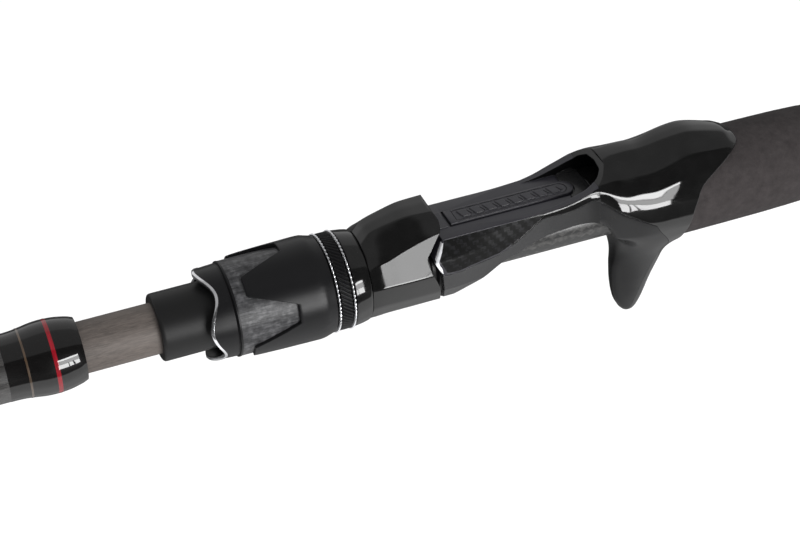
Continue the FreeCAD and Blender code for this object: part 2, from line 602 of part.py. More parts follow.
def guide_ring(x, ring_r, centre):
    """Hard ring with a rounded bore, set in its housing."""
    half = 0.5 * RING_THICK + 0.2
    profile = [(x - half + 0.5, ring_r + RING_WALL), (x - half, ring_r + 0.75), (x - half + 0.2, ring_r + 0.3),
               (x - 0.5, ring_r), (x + 0.5, ring_r), (x + half - 0.2, ring_r + 0.3),
               (x + half, ring_r + 0.75), (x + half - 0.5, ring_r + RING_WALL)]
    wire = polygon([(px, 0, r) for px, r in profile])
    ring = Part.Face(wire).revolve(V(0, 0, 0), V(1, 0, 0), 360)
    ring.translate(V(0, 0, centre))
    return ring


def guide_wrap(x, sign, rise, blank, frame):
    """Coated thread binding over one guide foot."""
    blank_r = radius_at(TIP_PROFILE, x)
    start = x + sign * (5.4 + 0.25 * rise)
    end = x + sign * (1.5 + FOOT_LENGTH + 2.5)
    low, high = min(start, end), max(start, end)
    skin = blank_r + 0.55
    body = turned([(low, 0.0), (low, skin - 0.25), (low + 1.2, skin), (high - 1.2, skin),
                   (high, skin - 0.25), (high, 0.0)])
    ridge = Part.makeCylinder(1.75, high - low - 0.6, V(low + 0.3, 0, blank_r - 0.25), V(1, 0, 0))
    return biggest(body.fuse(ridge).cut(blank).cut(frame))


def guide_parts(blank):
    parts = {}
    for number, (x, ring_r, rise, feet) in enumerate(GUIDES, 1):
        name = "guide_%d" % number
        frame = guide_frame(x, ring_r, rise, feet, blank)
        parts[name + "_frame"] = frame
        parts[name + "_ring"] = guide_ring(x, ring_r, radius_at(TIP_PROFILE, x) + rise)
        parts[name + "_wrap"] = guide_wrap(x, 1, rise, blank, frame)
        if feet == 2:
            parts[name + "_wrap_front"] = guide_wrap(x, -1, rise, blank, frame)
    return parts


def tiptop_parts(blank):
    """Tip guide: a tube over the end of the blank carrying a ring in a wire loop."""
    tube_r = 1.9
    x_ring = TIP_END_X - 5.0
    centre = 5.6
    outer = TIPTOP_RING_R + RING_WALL + HOUSING_WALL
    sleeve = rod_cylinder(TIP_END_X - 1.6, TIP_END_X + 11.0, tube_r)
    housing = Part.makeCylinder(outer, RING_THICK, V(x_ring - 0.5 * RING_THICK, 0, centre), V(1, 0, 0))
    frame = sleeve.fuse(housing)
    frame = frame.fuse(leg((TIP_END_X - 1.0, 0, 0), (x_ring, 0, centre - outer + 0.4), 0.8))
    for side in (1, -1):
        frame = frame.fuse(leg((TIP_END_X + 8.0, side * 1.2, 0.8), (x_ring, side * 2.9, centre - 2.6), 0.55))
    hole = Part.makeCylinder(TIPTOP_RING_R + RING_WALL, 60.0, V(x_ring - 30.0, 0, centre), V(1, 0, 0))
    frame = biggest(frame.cut(hole.common(box(x_ring - 3.0, x_ring + 3.0, 9.0, 0.0, 20.0))).cut(blank))
    wrap = turned([(TIP_END_X + 9.0, 0.0), (TIP_END_X + 9.0, 2.2), (TIP_END_X + 11.4, 2.3),
                   (TIP_END_X + 15.0, 2.0), (TIP_END_X + 16.5, 1.7), (TIP_END_X + 16.5, 0.0)])
    return {"tiptop_frame": frame, "tiptop_ring": guide_ring(x_ring, TIPTOP_RING_R, centre),
            "tiptop_wrap": biggest(wrap.cut(blank).cut(frame))}


# ---------------------------------------------------------------- all parts

def build():
    blank = handle_blank()
    solid_blank = turned([(SPIGOT_FRONT_X, 0.0), (SPIGOT_FRONT_X, SPIGOT_R)] + list(BLANK_PROFILE)
                         + [(BLANK_END_X, 0.0)])
    barrel = seat_barrel(solid_blank)
    parts = {"handle_blank": blank, "blank_front_plug": blank_front_plug(),
             "blank_end_plug": blank_end_plug(), "seat_barrel": barrel,
             "seat_front_sleeve": seat_front_sleeve(solid_blank)}
    parts.update(seat_parts(solid_blank, barrel))
    seat = [parts["palm_shell"], parts["trigger_rail"]]
    parts["rear_grip"] = rear_grip(solid_blank, seat)
    parts["rear_grip_trim"] = grip_trim(solid_blank, REAR_GRIP_END_X, REAR_GRIP_END_X + 5.0, 9.7)
    parts["butt_grip_trim"] = grip_trim(solid_blank, BUTT_GRIP_FRONT_X - 5.0, BUTT_GRIP_FRONT_X, 9.3)
    parts["butt_grip"] = butt_grip(solid_blank)
    parts["butt_cap"] = butt_cap(solid_blank)
    parts.update(hood_parts())
    parts["nut_core"] = nut_core()
    parts["nut_crown"] = nut_crown()
    parts["nut_carbon_sleeve"] = nut_carbon_sleeve()
    parts["nut_shroud"] = nut_shroud()
    parts["nut_knurled_ring"] = nut_knurled_ring()
    parts["nut_bead_front"] = nut_bead(SHROUD_REAR_X + 0.6)
    parts["nut_bead_rear"] = nut_bead(RING_REAR_X - 0.6)
    parts["nut_rear_collar"] = nut_rear_collar()
    tip = tip_blank()
    parts["tip_blank"] = tip
    tip_solid = turned([(TIP_MOUTH_X + 2.0, 0.0), (TIP_MOUTH_X + 2.0, SPIGOT_R), (TIP_MOUTH_X, SPIGOT_R),
                        (TIP_MOUTH_X, TIP_SEAT_R), (WRAP_SEAT_END_X, TIP_SEAT_R)]
                       + list(TIP_PROFILE) + [(TIP_END_X, 0.0)])
    parts.update(tip_ferrule_parts(tip_solid))
    parts.update(guide_parts(tip_solid))
    parts.update(tiptop_parts(tip_solid))
    return parts


def place(shape):
    moved = shape.copy()
    moved.translate(V(-ORIGIN_X, 0, -STRIP_TOP_Z))
    return moved


def main():
    os.makedirs("parts", exist_ok=True)
    for name, shape in sorted(build().items()):
        place(shape).exportStep("parts/%s.step" % name)


main()
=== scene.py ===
"""Visual model of a casting rod: a threaded reel seat with its sliding hood, seen close up."""
import json
import math

import bmesh
import bpy
import numpy as np
from mathutils import Matrix, Vector, noise


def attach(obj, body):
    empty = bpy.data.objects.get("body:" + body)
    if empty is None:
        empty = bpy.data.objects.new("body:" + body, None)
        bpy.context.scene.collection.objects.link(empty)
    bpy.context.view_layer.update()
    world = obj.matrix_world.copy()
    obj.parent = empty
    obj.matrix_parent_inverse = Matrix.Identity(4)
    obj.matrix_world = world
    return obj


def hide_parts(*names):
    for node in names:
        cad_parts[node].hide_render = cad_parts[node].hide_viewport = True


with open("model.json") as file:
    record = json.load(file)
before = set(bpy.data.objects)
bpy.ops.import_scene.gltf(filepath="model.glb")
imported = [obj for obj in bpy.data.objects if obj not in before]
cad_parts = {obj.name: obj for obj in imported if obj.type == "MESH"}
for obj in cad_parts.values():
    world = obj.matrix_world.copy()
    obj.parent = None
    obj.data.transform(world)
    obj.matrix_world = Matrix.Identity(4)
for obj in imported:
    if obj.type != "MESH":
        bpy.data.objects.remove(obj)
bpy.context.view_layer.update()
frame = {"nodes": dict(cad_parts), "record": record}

# Rod coordinates are in millimetres, with the rod's axis at y = z = 0.
ORIGIN_X = 49.5
STRIP_TOP_Z = 10.2
MM = 0.001

# -------- dimensions
PLATFORM_Z = 9.7
# Radius in which the hood and the nut run on the seat's thread.
RUN_R = 9.97
BLANK_R = 6.9
CROWN_TIP_X, CROWN_DIP_X, CROWN_REAR_X = -32.3, -29.4, -25.9
SHROUD_FRONT_X, WINDOW_REAR_X, SHROUD_REAR_X, RING_REAR_X = -22.2, -10.6, -0.9, 4.2
# Degrees round the axis to the middle of a finger of the shroud.
FINGER_PHASE = 58.0
# How far the rear grip's middle is above the axis at its front.
GRIP_RISE = 1.4

# Half outlines (x, ((y, z) ...)) from the top centre to the bottom centre.
SEAT_LOW = ((4.4, -10.2), (0, -11.0))
SEAT_SECTIONS = (
    (22.0, ((0, 9.9), (5.0, 9.8), (7.35, 9.7), (8.9, 8.3), (11.35, 6.0), (11.8, 2.1), (10.9, -3.2),
            (8.4, -7.3), *SEAT_LOW)),
    (30.0, ((0, 9.9), (5.0, 9.8), (7.35, 9.7), (8.9, 8.3), (11.35, 6.0), (11.8, 2.0), (10.9, -3.2),
            (8.4, -7.3), *SEAT_LOW)),
    (34.0, ((0, 9.9), (5.0, 9.8), (7.35, 9.7), (8.7, 8.3), (10.85, 5.9), (11.25, 2.2), (10.6, -3.2),
            (8.4, -7.3), *SEAT_LOW)),
    (40.0, ((0, 9.9), (5.0, 9.8), (7.4, 9.7), (8.35, 8.4), (9.9, 5.8), (10.3, 2.5), (9.9, -3.2),
            (8.2, -7.3), *SEAT_LOW)),
    (44.0, ((0, 9.95), (5.0, 9.85), (7.4, 9.7), (8.1, 8.6), (9.2, 5.9), (9.6, 2.9), (9.4, -3.2),
            (8.0, -7.3), *SEAT_LOW)),
    (48.0, ((0, 10.0), (5.0, 9.9), (7.5, 9.7), (7.9, 8.9), (8.6, 6.2), (9.0, 4.3), (8.9, -3.2),
            (7.8, -7.3), *SEAT_LOW)),
    (52.0, ((0, 10.2), (5.0, 10.05), (7.6, 9.75), (7.82, 9.3), (8.1, 7.8), (8.45, 6.2), (8.55, -3.2),
            (7.7, -7.3), *SEAT_LOW)),
    (56.0, ((0, 10.9), (5.2, 10.7), (7.75, 9.95), (7.95, 9.55), (8.03, 9.1), (8.13, 8.4), (8.3, -3.3),
            (7.7, -7.4), (4.4, -10.3), (0, -11.1))),
    (60.0, ((0, 12.1), (5.5, 11.8), (8.1, 10.5), (8.3, 10.05), (8.4, 9.5), (8.52, 8.7), (8.5, -3.4),
            (7.8, -7.5), (4.4, -10.4), (0, -11.2))),
    (64.0, ((0, 14.3), (5.6, 13.9), (8.45, 11.6), (8.7, 11.1), (8.82, 10.3), (8.93, 9.4), (8.8, -3.5),
            (7.9, -7.7), (4.4, -10.5), (0, -11.3))),
    (68.0, ((0, 15.9), (5.4, 15.6), (8.5, 12.9), (8.85, 12.3), (9.05, 11.4), (9.2, 10.4), (9.5, -3.6),
            (8.1, -7.8), (4.4, -10.6), (0, -11.4))),
    (70.0, ((0, 16.6), (5.1, 16.3), (8.4, 13.6), (8.95, 12.7), (9.35, 11.7), (9.6, 10.6), (10.1, -3.7),
            (8.3, -7.9), (4.4, -10.7), (0, -11.4))),
    (72.0, ((0, 17.3), (4.6, 17.0), (8.3, 14.1), (9.2, 12.9), (9.9, 11.6), (10.5, 9.6), (10.8, -3.8),
            (8.5, -8.0), (4.4, -10.8), (0, -11.5))),
    (75.0, ((0, 17.9), (2.6, 17.8), (7.8, 14.7), (9.8, 12.6), (11.2, 10.2), (12.3, 6.9), (11.3, -3.9),
            (8.6, -8.1), (4.4, -10.9), (0, -11.5))),
    (78.0, ((0, 18.2), (2.5, 18.1), (7.6, 14.5), (10.3, 11.9), (12.1, 8.9), (13.1, 4.9), (11.8, -4.1),
            (8.9, -8.5), (4.5, -11.1), (0, -11.6))),
    (82.0, ((0, 18.3), (2.5, 18.1), (7.7, 14.2), (10.6, 11.3), (12.7, 7.4), (13.7, 2.5), (12.3, -4.3),
            (9.1, -8.7), (4.6, -11.2), (0, -11.6))),
    (86.0, ((0, 18.1), (2.4, 17.9), (7.8, 14.0), (10.7, 11.0), (12.9, 7.0), (13.95, 1.2), (12.5, -4.5),
            (9.2, -8.8), (4.6, -11.2), (0, -11.6))),
    (92.0, ((0, 19.3), (2.9, 19.1), (8.1, 14.4), (10.9, 10.9), (12.9, 6.2), (13.75, 0.2), (12.5, -4.7),
            (9.2, -8.8), (4.6, -11.2), (0, -11.6))),
    (98.0, ((0, 19.8), (3.0, 19.6), (7.8, 15.2), (10.8, 10.2), (12.75, 4.7), (13.4, -1.0), (12.3, -4.9),
            (9.3, -8.9), (4.7, -11.3), (0, -11.8))),
    (104.0, ((0, 18.5), (2.7, 18.3), (7.1, 15.0), (10.3, 10.6), (12.5, 4.9), (13.35, -0.8), (12.2, -4.8),
             (9.3, -8.8), (4.7, -11.2), (0, -11.7))),
    (109.0, ((0, 16.9), (2.2, 16.7), (6.1, 14.9), (9.3, 11.6), (12.0, 6.3), (13.3, 0.0), (12.2, -4.5),
             (9.2, -8.7), (4.6, -11.1), (0, -11.6))),
    (112.4, ((0, 14.9), (2.0, 14.8), (5.4, 13.6), (8.5, 11.2), (11.5, 6.9), (13.2, 0.8), (12.1, -4.2),
             (9.1, -8.6), (4.6, -11.0), (0, -11.5))),
)
# Corner radii of those outlines at some stations.
SEAT_RADII = (
    (22.0, (0, 0.3, 0.3, 0.4, 1.2, 0.35, 0.8, 2.0, 3.0, 0)),
    (40.0, (0, 0.5, 0.5, 1.0, 2.0, 0.3, 1.0, 2.0, 3.0, 0)),
    (60.0, (0, 1.0, 1.0, 1.4, 1.4, 0.35, 1.5, 2.5, 3.0, 0)),
    (72.0, (0, 1.0, 2.0, 4.0, 4.0, 0.6, 2.2, 3.0, 3.0, 0)),
    (80.0, (0, 0.8, 4.0, 9.0, 9.0, 2.0, 6.0, 6.0, 6.0, 0)),
    (90.0, (0, 0.9, 4.0, 9.0, 9.0, 9.0, 9.0, 9.0, 6.0, 0)),
    (112.4, (0, 1.4, 4.0, 9.0, 9.0, 9.0, 9.0, 9.0, 6.0, 0)),
)
HOOD_LOW = ((8.1, -7.9), (4.2, -10.5), (0, -11.3))
HOOD_SECTIONS = (
    (8.7, ((0, 11.5), (3.0, 11.15), (9.0, 7.1), (11.2, 2.5), (10.9, -3.4), (8.2, -8.0),
           (4.2, -10.6), (0, -11.4))),
    (10.6, ((0, 13.9), (3.0, 13.6), (9.2, 8.2), (11.6, 2.7), (11.0, -3.2), (8.2, -8.0),
            (4.2, -10.6), (0, -11.4))),
    (13.0, ((0, 14.8), (3.05, 14.6), (9.2, 8.6), (11.8, 2.8), (11.0, -3.1), *HOOD_LOW)),
    (17.0, ((0, 15.8), (3.2, 15.6), (8.9, 9.9), (12.1, 2.9), (11.1, -3.1), *HOOD_LOW)),
    (20.5, ((0, 16.5), (3.4, 16.3), (8.6, 10.9), (12.2, 2.9), (11.1, -3.1), *HOOD_LOW)),
    (25.0, ((0, 16.5), (3.7, 16.3), (8.4, 12.1), (12.2, 2.9), (11.1, -3.1), *HOOD_LOW)),
    (30.0, ((0, 16.4), (3.9, 16.2), (8.4, 13.0), (12.2, 2.9), (11.1, -3.1), *HOOD_LOW)),
)
HOOD_RADII = (
    (8.7, (0, 0.9, 1.4, 1.6, 2.5, 2.5, 2.5, 0)),
    (14.0, (0, 0.7, 0.8, 1.7, 2.5, 2.5, 2.5, 0)),
    (30.0, (0, 0.6, 0.5, 1.7, 2.5, 2.5, 2.5, 0)),
)
HOOD_ROOM_SECTIONS = (
    (13.5, ((0, 13.6), (2.7, 13.3), (7.6, 8.1), (7.4, 6.0), (0, 6.0))),
    (17.0, ((0, 14.7), (2.9, 14.4), (7.4, 9.2), (7.3, 6.0), (0, 6.0))),
    (20.5, ((0, 15.4), (3.1, 15.1), (7.2, 10.2), (7.2, 6.0), (0, 6.0))),
    (25.0, ((0, 15.6), (3.4, 15.3), (7.0, 11.4), (7.2, 6.0), (0, 6.0))),
    (40.0, ((0, 15.5), (3.6, 15.2), (7.0, 12.2), (7.2, 6.0), (0, 6.0))),
)
POCKET_SECTIONS = (
    (55.6, ((0, 9.69), (6.4, 9.69), (6.4, 12.6), (5.5, 14.6), (3.6, 15.9), (0, 16.3))),
    (74.0, ((0, 9.69), (6.4, 9.69), (6.4, 12.4), (5.5, 14.4), (3.6, 15.7), (0, 16.1))),
    (84.0, ((0, 9.69), (6.0, 9.69), (6.0, 10.9), (5.0, 12.3), (3.2, 13.1), (0, 13.4))),
)
# Stations of the trigger: z, front x, rear x, half width.
TRIGGER_SECTIONS = (
    (-3.5, 75.2, 100.0, 12.3), (-7.0, 77.0, 98.4, 11.0), (-9.2, 78.0, 97.2, 9.8), (-11.5, 78.7, 95.9, 8.4),
    (-14.5, 78.9, 94.7, 6.7), (-18.5, 78.9, 93.2, 5.2), (-23.7, 79.1, 91.1, 4.3), (-28.0, 79.7, 89.6, 3.7),
    (-31.0, 80.5, 88.6, 3.1), (-34.0, 82.0, 87.3, 2.2), (-35.4, 83.2, 86.4, 1.3), (-35.9, 84.1, 85.6, 0.6),
)
# Side outlines (x, z).
HOOD_REAR_EDGE = ((24.6, 17.4), (26.6, 16.6), (27.7, 15.8), (28.2, 14.8), (28.0, 13.4), (26.9, 11.9),
                  (24.7, 8.9), (23.4, 7.0), (24.2, 3.1), (25.4, 0.3), (26.5, -3.5), (28.0, -12.0))
SEAT_FRONT_EDGE = ((28.9, 11.0), (28.3, 9.2), (25.1, 6.1), (26.8, 2.3), (27.6, -4.3), (29.3, -12.0))
UNDERCUT = ((30.5, -7.5), (34.1, -5.2), (38.4, -3.25), (44.1, -0.4), (48.9, 0.7), (54.4, 2.4),
            (59.9, 3.6), (65.1, 4.3), (68.9, 4.1), (71.4, 3.2), (73.3, 1.0), (75.4, -3.0),
            (77.0, -6.5), (78.4, -10.4))
PALM_UNDERSIDE = ((74.0, -1.8), (78.0, -4.8), (84.0, -7.2), (92.0, -9.0), (100.0, -9.8), (100.0, -15.0),
                  (74.0, -15.0))
RAIL_TOP_EDGE = ((20.0, 2.2), (31.3, 1.9), (35.6, 2.2), (43.0, 2.5), (48.7, 4.5), (54.1, 7.5),
                 (56.3, 8.35), (62.4, 8.8), (66.1, 9.9), (69.6, 10.7), (72.5, 8.9), (80.5, 3.7),
                 (84.7, 1.2))
SEAT_REAR_EDGE = ((93.4, -14.0), (94.0, -5.0), (95.4, 1.2), (97.0, 5.4), (98.8, 8.2), (102.5, 10.6),
                  (106.5, 12.5), (109.3, 13.8), (112.6, 14.3))
MOUTH_EDGE = ((56.0, 9.7), (60.0, 10.35), (64.0, 11.4), (68.0, 12.7), (70.5, 14.0), (72.6, 15.6),
              (74.0, 17.2))
RAIL_REAR_EDGE = ((84.7, 1.2), (86.2, -1.5), (88.8, -5.0), (90.6, -8.5), (90.3, -12.0),
                  (88.2, -20.0), (86.4, -25.8), (84.9, -31.5), (84.3, -36.5), (84.3, -60.0))
PANEL_OUTLINE = ((28.9, 9.45), (26.4, 6.1), (28.0, 2.6), (31.3, 2.3), (35.6, 2.6), (43.0, 2.9),
                 (48.7, 4.9), (54.05, 8.0), (55.6, 9.4))
# Outside of the shroud (x, radius).
SHROUD_PROFILE = ((-23.0, 12.7), (-14.0, 12.98), (-5.0, 13.15), (-3.6, 13.08), (-2.9, 12.85), (-0.9, 12.3))
# Front edge of a side panel (x, z, y).
CHEVRON_LINE = ((28.1, 9.1, 8.15), (26.6, 7.6, 9.75), (25.5, 6.5, 10.95), (25.12, 6.0, 11.42),
                (25.3, 5.3, 11.50), (25.9, 4.1, 11.62), (26.6, 2.75, 11.75))


# -------- mesh helpers
def place(p):
    """Scene coordinates, in metres, of a point in rod coordinates."""
    return ((p[0] - ORIGIN_X) * MM, p[1] * MM, (p[2] - STRIP_TOP_Z) * MM)


def make_object(points, faces):
    """Object from rod coordinates, with its faces turned outwards."""
    mesh = bpy.data.meshes.new("piece")
    mesh.from_pydata([place(p) for p in points], [], faces)
    ob = bpy.data.objects.new("piece", mesh)
    bpy.context.collection.objects.link(ob)
    bm = bmesh.new()
    bm.from_mesh(mesh)
    bmesh.ops.remove_doubles(bm, verts=bm.verts, dist=1e-7)
    bmesh.ops.recalc_face_normals(bm, faces=bm.faces)
    bm.to_mesh(mesh)
    bm.free()
    return ob


def smooth_curve(values, t):
    """Point between the middle two of four values."""
    p0, p1, p2, p3 = values
    b = (p2 - p0) * t
    c = (2.0 * p0 - 5.0 * p1 + 4.0 * p2 - p3) * t * t
    d = (3.0 * p1 - p0 - 3.0 * p2 + p3) * t ** 3
    return 0.5 * (2.0 * p1 + b + c + d)


def eased(rows, step, even=True, least=1):
    """Rows of numbers with more rows between them, on smooth curves.

    With even, the first number of a row goes up in equal steps."""
    ends = [rows[0], *rows, rows[-1]]
    result = []
    for four in zip(ends, ends[1:], ends[2:], ends[3:]):
        start, end = four[1][0], four[2][0]
        length = abs(end - start) if even else math.dist(four[1], four[2])
        count = max(least, int(round(length / step)))
        for k in range(count):
            t = k / count
            row = [smooth_curve(values, t) for values in zip(*four)]
            if even:
                row[0] = start + (end - start) * t
            result.append(tuple(row))
    return result + [rows[-1]]


def eased_line(line, step=1.2):
    """Side outline with more points, on a smooth curve."""
    return eased(line, step, even=False)


def fine_sections(sections, step):
    """Half outlines with more stations between them."""
    rows = [(x, *(v for point in half for v in point)) for x, half in sections]
    return [(row[0], list(zip(row[1::2], row[2::2]))) for row in eased(rows, step)]


def lerp_table(table, x):
    """Row of a table (x, values), between its stations."""
    if x <= table[0][0]:
        return table[0][1]
    for (xa, a), (xb, b) in zip(table, table[1:]):
        if x <= xb:
            t = (x - xa) / (xb - xa)
            return tuple(p + (q - p) * t for p, q in zip(a, b))
    return table[-1][1]


def corner_arc(start, corner, end, steps):
    """Points of a curve from start to end, bent towards the corner."""
    points = []
    for k in range(steps + 1):
        t = k / steps
        spot = start.lerp(corner, t).lerp(corner.lerp(end, t), t)
        points.append((spot.x, spot.y))
    return points


def straight(a, b, count, steps=4):
    """The first points after a on the way to b."""
    ways = [k / steps for k in range(1, count + 1)]
    return [(a[0] + (b[0] - a[0]) * t, a[1] + (b[1] - a[1]) * t) for t in ways]


def rounded_half(half, radii):
    """Half outline with its corners rounded, always with the same number of points."""
    points = [half[0]]
    for j in range(1, len(half) - 1):
        corner = Vector(half[j])
        back = Vector(half[j - 1]) - corner
        ahead = Vector(half[j + 1]) - corner
        room = 0.48 * min(back.length, ahead.length)
        back_dir, ahead_dir = back.normalized(), ahead.normalized()
        half_angle = 0.5 * math.acos(max(-1.0, min(1.0, back_dir.dot(ahead_dir))))
        reach = min(room, radii[j] / math.tan(half_angle)) if half_angle > 0.01 else 0.0
        reach = max(reach, 0.02)
        start = corner + back_dir * reach
        points += straight(points[-1], start, 3)
        points += corner_arc(start, corner, corner + ahead_dir * reach, 6)
    return points + straight(points[-1], half[-1], 4)


def softened(profile, radius, steps=3):
    """Outline with small rounds at its corners."""
    result = []
    for i, point in enumerate(profile):
        corner = Vector(point)
        back = Vector(profile[i - 1]) - corner
        ahead = Vector(profile[(i + 1) % len(profile)]) - corner
        reach = min(radius, 0.45 * back.length, 0.45 * ahead.length)
        back_dir, ahead_dir = back.normalized(), ahead.normalized()
        if back_dir.dot(ahead_dir) < -0.985 or reach < 0.01:
            result.append(point)
        else:
            result += corner_arc(corner + back_dir * reach, corner, corner + ahead_dir * reach, steps)
    return result


def skin(rings):
    """Closed solid through rings of points, with flat ends."""
    n = len(rings[0])
    points = [p for ring in rings for p in ring]
    faces = []
    for i in range(len(rings) - 1):
        for j in range(n):
            k = (j + 1) % n
            faces.append((i * n + j, i * n + k, (i + 1) * n + k, (i + 1) * n + j))
    faces.append(tuple(range(n)))
    faces.append(tuple((len(rings) - 1) * n + j for j in range(n)))
    return make_object(points, faces)


def loft(sections, radii, step=0.6, passes=0, x_low=0.0):
    """Solid through half outlines, its stations blended with their neighbours passes times."""
    halves = [(x, rounded_half(half, lerp_table(radii, x))) for x, half in fine_sections(sections, step)]
    for _ in range(passes):
        blended = [halves[0]]
        for (xa, a), (xb, b), (xc, c) in zip(halves, halves[1:], halves[2:]):
            blended.append((xb, [((p[0] + 2 * q[0] + r[0]) / 4, (p[1] + 2 * q[1] + r[1]) / 4)
                                 for p, q, r in zip(a, b, c)]))
        halves = blended + [halves[-1]]
    rings = []
    for x, half in halves:
        if x >= x_low:
            right = [(x, y, z) for y, z in half]
            rings.append(right + [(x, -y, z) for y, z in reversed(half[1:-1])])
    return skin(rings)


def side_prism(outline, y_low=-40.0, y_high=40.0):
    """Solid with one side outline (x, z)."""
    n = len(outline)
    points = [(x, y_low, z) for x, z in outline] + [(x, y_high, z) for x, z in outline]
    faces = [tuple(range(n)), tuple(range(2 * n - 1, n - 1, -1))]
    faces += [(i, (i + 1) % n, n + (i + 1) % n, n + i) for i in range(n)]
    return make_object(points, faces)


def cylinder(x_low, x_high, radius, sides=96):
    angles = [2.0 * math.pi * i / sides for i in range(sides)]
    return skin([[(x, -radius * math.cos(a), radius * math.sin(a)) for a in angles] for x in (x_low, x_high)])


def swept_ring(outline_at, sides=360):
    """Closed ring whose (x, radius) outline changes with the angle."""
    points = []
    for i in range(sides):
        a = 2.0 * math.pi * i / sides
        points += [(x, -r * math.cos(a), r * math.sin(a)) for x, r in outline_at(a)]
    n = len(points) // sides
    faces = []
    for i in range(sides):
        j = (i + 1) % sides
        for k in range(n):
            m = (k + 1) % n
            faces.append((i * n + k, j * n + k, j * n + m, i * n + m))
    return make_object(points, faces)


def lathe(profile, sides=144):
    """Ring from a closed (x, radius) outline."""
    return swept_ring(lambda a: profile, sides)


def applied(ob):
    """Replaces a mesh with what its modifiers make of it."""
    dg = bpy.context.evaluated_depsgraph_get()
    mesh = bpy.data.meshes.new_from_object(ob.evaluated_get(dg))
    ob.modifiers.clear()
    old = ob.data
    ob.data = mesh
    bpy.data.meshes.remove(old)
    return ob


def remove(ob):
    mesh = ob.data
    bpy.data.objects.remove(ob)
    bpy.data.meshes.remove(mesh)


def combine(ob, *cutters, how="DIFFERENCE"):
    """Cuts an object with others, which are used up."""
    for cutter in cutters:
        mod = ob.modifiers.new("cut", "BOOLEAN")
        mod.operation = how
        mod.object = cutter
        mod.solver = "MANIFOLD"
        applied(ob)
        remove(cutter)
    return ob


def remeshed(ob, size):
    mod = ob.modifiers.new("even", "REMESH")
    mod.mode = "VOXEL"
    mod.voxel_size = size * MM
    return applied(ob)


def relax(ob, weight_at, rounds):
    """Moves each point towards the middle of its neighbours, by its weight."""
    mesh = ob.data
    n = len(mesh.vertices)
    co = np.empty(n * 3)
    mesh.vertices.foreach_get("co", co)
    co = co.reshape(n, 3)
    ends = np.empty(len(mesh.edges) * 2, dtype=np.int32)
    mesh.edges.foreach_get("vertices", ends)
    a, b = ends.reshape(-1, 2).T
    count = np.maximum(np.bincount(a, minlength=n) + np.bincount(b, minlength=n), 1)
    rod = co / MM + np.array((ORIGIN_X, 0.0, STRIP_TOP_Z))
    weight = weight_at(rod[:, 0], rod[:, 1], rod[:, 2])
    for _ in range(rounds):
        for k in range(3):
            total = np.bincount(a, co[b, k], n) + np.bincount(b, co[a, k], n)
            co[:, k] += weight * (total / count - co[:, k])
    mesh.vertices.foreach_set("co", co.ravel())
    mesh.update()


def duplicate(ob):
    copy = ob.copy()
    copy.data = ob.data.copy()
    bpy.context.collection.objects.link(copy)
    return copy


def joined(pieces):
    """One object out of several."""
    bm = bmesh.new()
    for ob in pieces:
        bm.from_mesh(ob.data)
    mesh = bpy.data.meshes.new("piece")
    bm.to_mesh(mesh)
    bm.free()
    for ob in pieces:
        remove(ob)
    result = bpy.data.objects.new("piece", mesh)
    bpy.context.collection.objects.link(result)
    return result


# -------- materials
MATERIALS = {}
# Slots whose material has another name.
SLOT_MATERIAL = {"carbon_blank": "tip_carbon", "carbon_inlay": "carbon_panel"}


def rgba(value):
    """Colour of a grey's single number or of three numbers."""
    return (*value, 1.0) if isinstance(value, tuple) else (value, value, value, 1.0)


class Nodes:
    """Small helper that builds the nodes of a material or a world."""

    def __init__(self, owner, coordinates="Object"):
        owner.use_nodes = True
        self.tree = owner.node_tree
        self.coord = self.add("ShaderNodeTexCoord").outputs[coordinates]

    def add(self, kind, **values):
        node = self.tree.nodes.new(kind)
        for key, value in values.items():
            setattr(node, key, value)
        return node

    def feed(self, socket, value):
        """Links an output to a socket, or sets the socket's own value."""
        if hasattr(value, "is_output"):
            self.tree.links.new(value, socket)
        elif socket.type == "RGBA":
            socket.default_value = rgba(value)
        else:
            socket.default_value = value

    def math(self, op, *values):
        node = self.add("ShaderNodeMath", operation=op)
        for socket, value in zip(node.inputs, values):
            self.feed(socket, value)
        return node.outputs[0]

    def axes(self):
        node = self.add("ShaderNodeSeparateXYZ")
        self.feed(node.inputs[0], self.coord)
        return node.outputs

    def scaled(self, x, y, z):
        node = self.add("ShaderNodeVectorMath", operation="MULTIPLY")
        self.feed(node.inputs[0], self.coord)
        self.feed(node.inputs[1], (x, y, z))
        return node.outputs[0]

    def noise(self, scale, detail=2.0, vector=None, rough=0.5):
        node = self.add("ShaderNodeTexNoise")
        for name, value in (("Scale", scale), ("Detail", detail), ("Roughness", rough),
                            ("Vector", vector or self.coord)):
            self.feed(node.inputs[name], value)
        return node.outputs["Fac"]

    def ramp(self, fac, stops):
        node = self.add("ShaderNodeValToRGB")
        elements = node.color_ramp.elements
        while len(elements) < len(stops):
            elements.new(0.5)
        for element, (at, value) in zip(elements, stops):
            element.position = at
            element.color = rgba(value)
        self.feed(node.inputs[0], fac)
        return node.outputs[0]

    def span(self, fac, low, high, start=0.3, end=0.7):
        """One value or colour that turns into another between start and end."""
        return self.ramp(fac, ((start, low), (end, high)))

    def mix(self, fac, a, b):
        node = self.add("ShaderNodeMix", data_type="RGBA")
        for number, value in ((0, fac), (6, a), (7, b)):
            self.feed(node.inputs[number], value)
        return node.outputs[2]

    def glossy_ray(self):
        return self.add("ShaderNodeLightPath").outputs["Is Glossy Ray"]


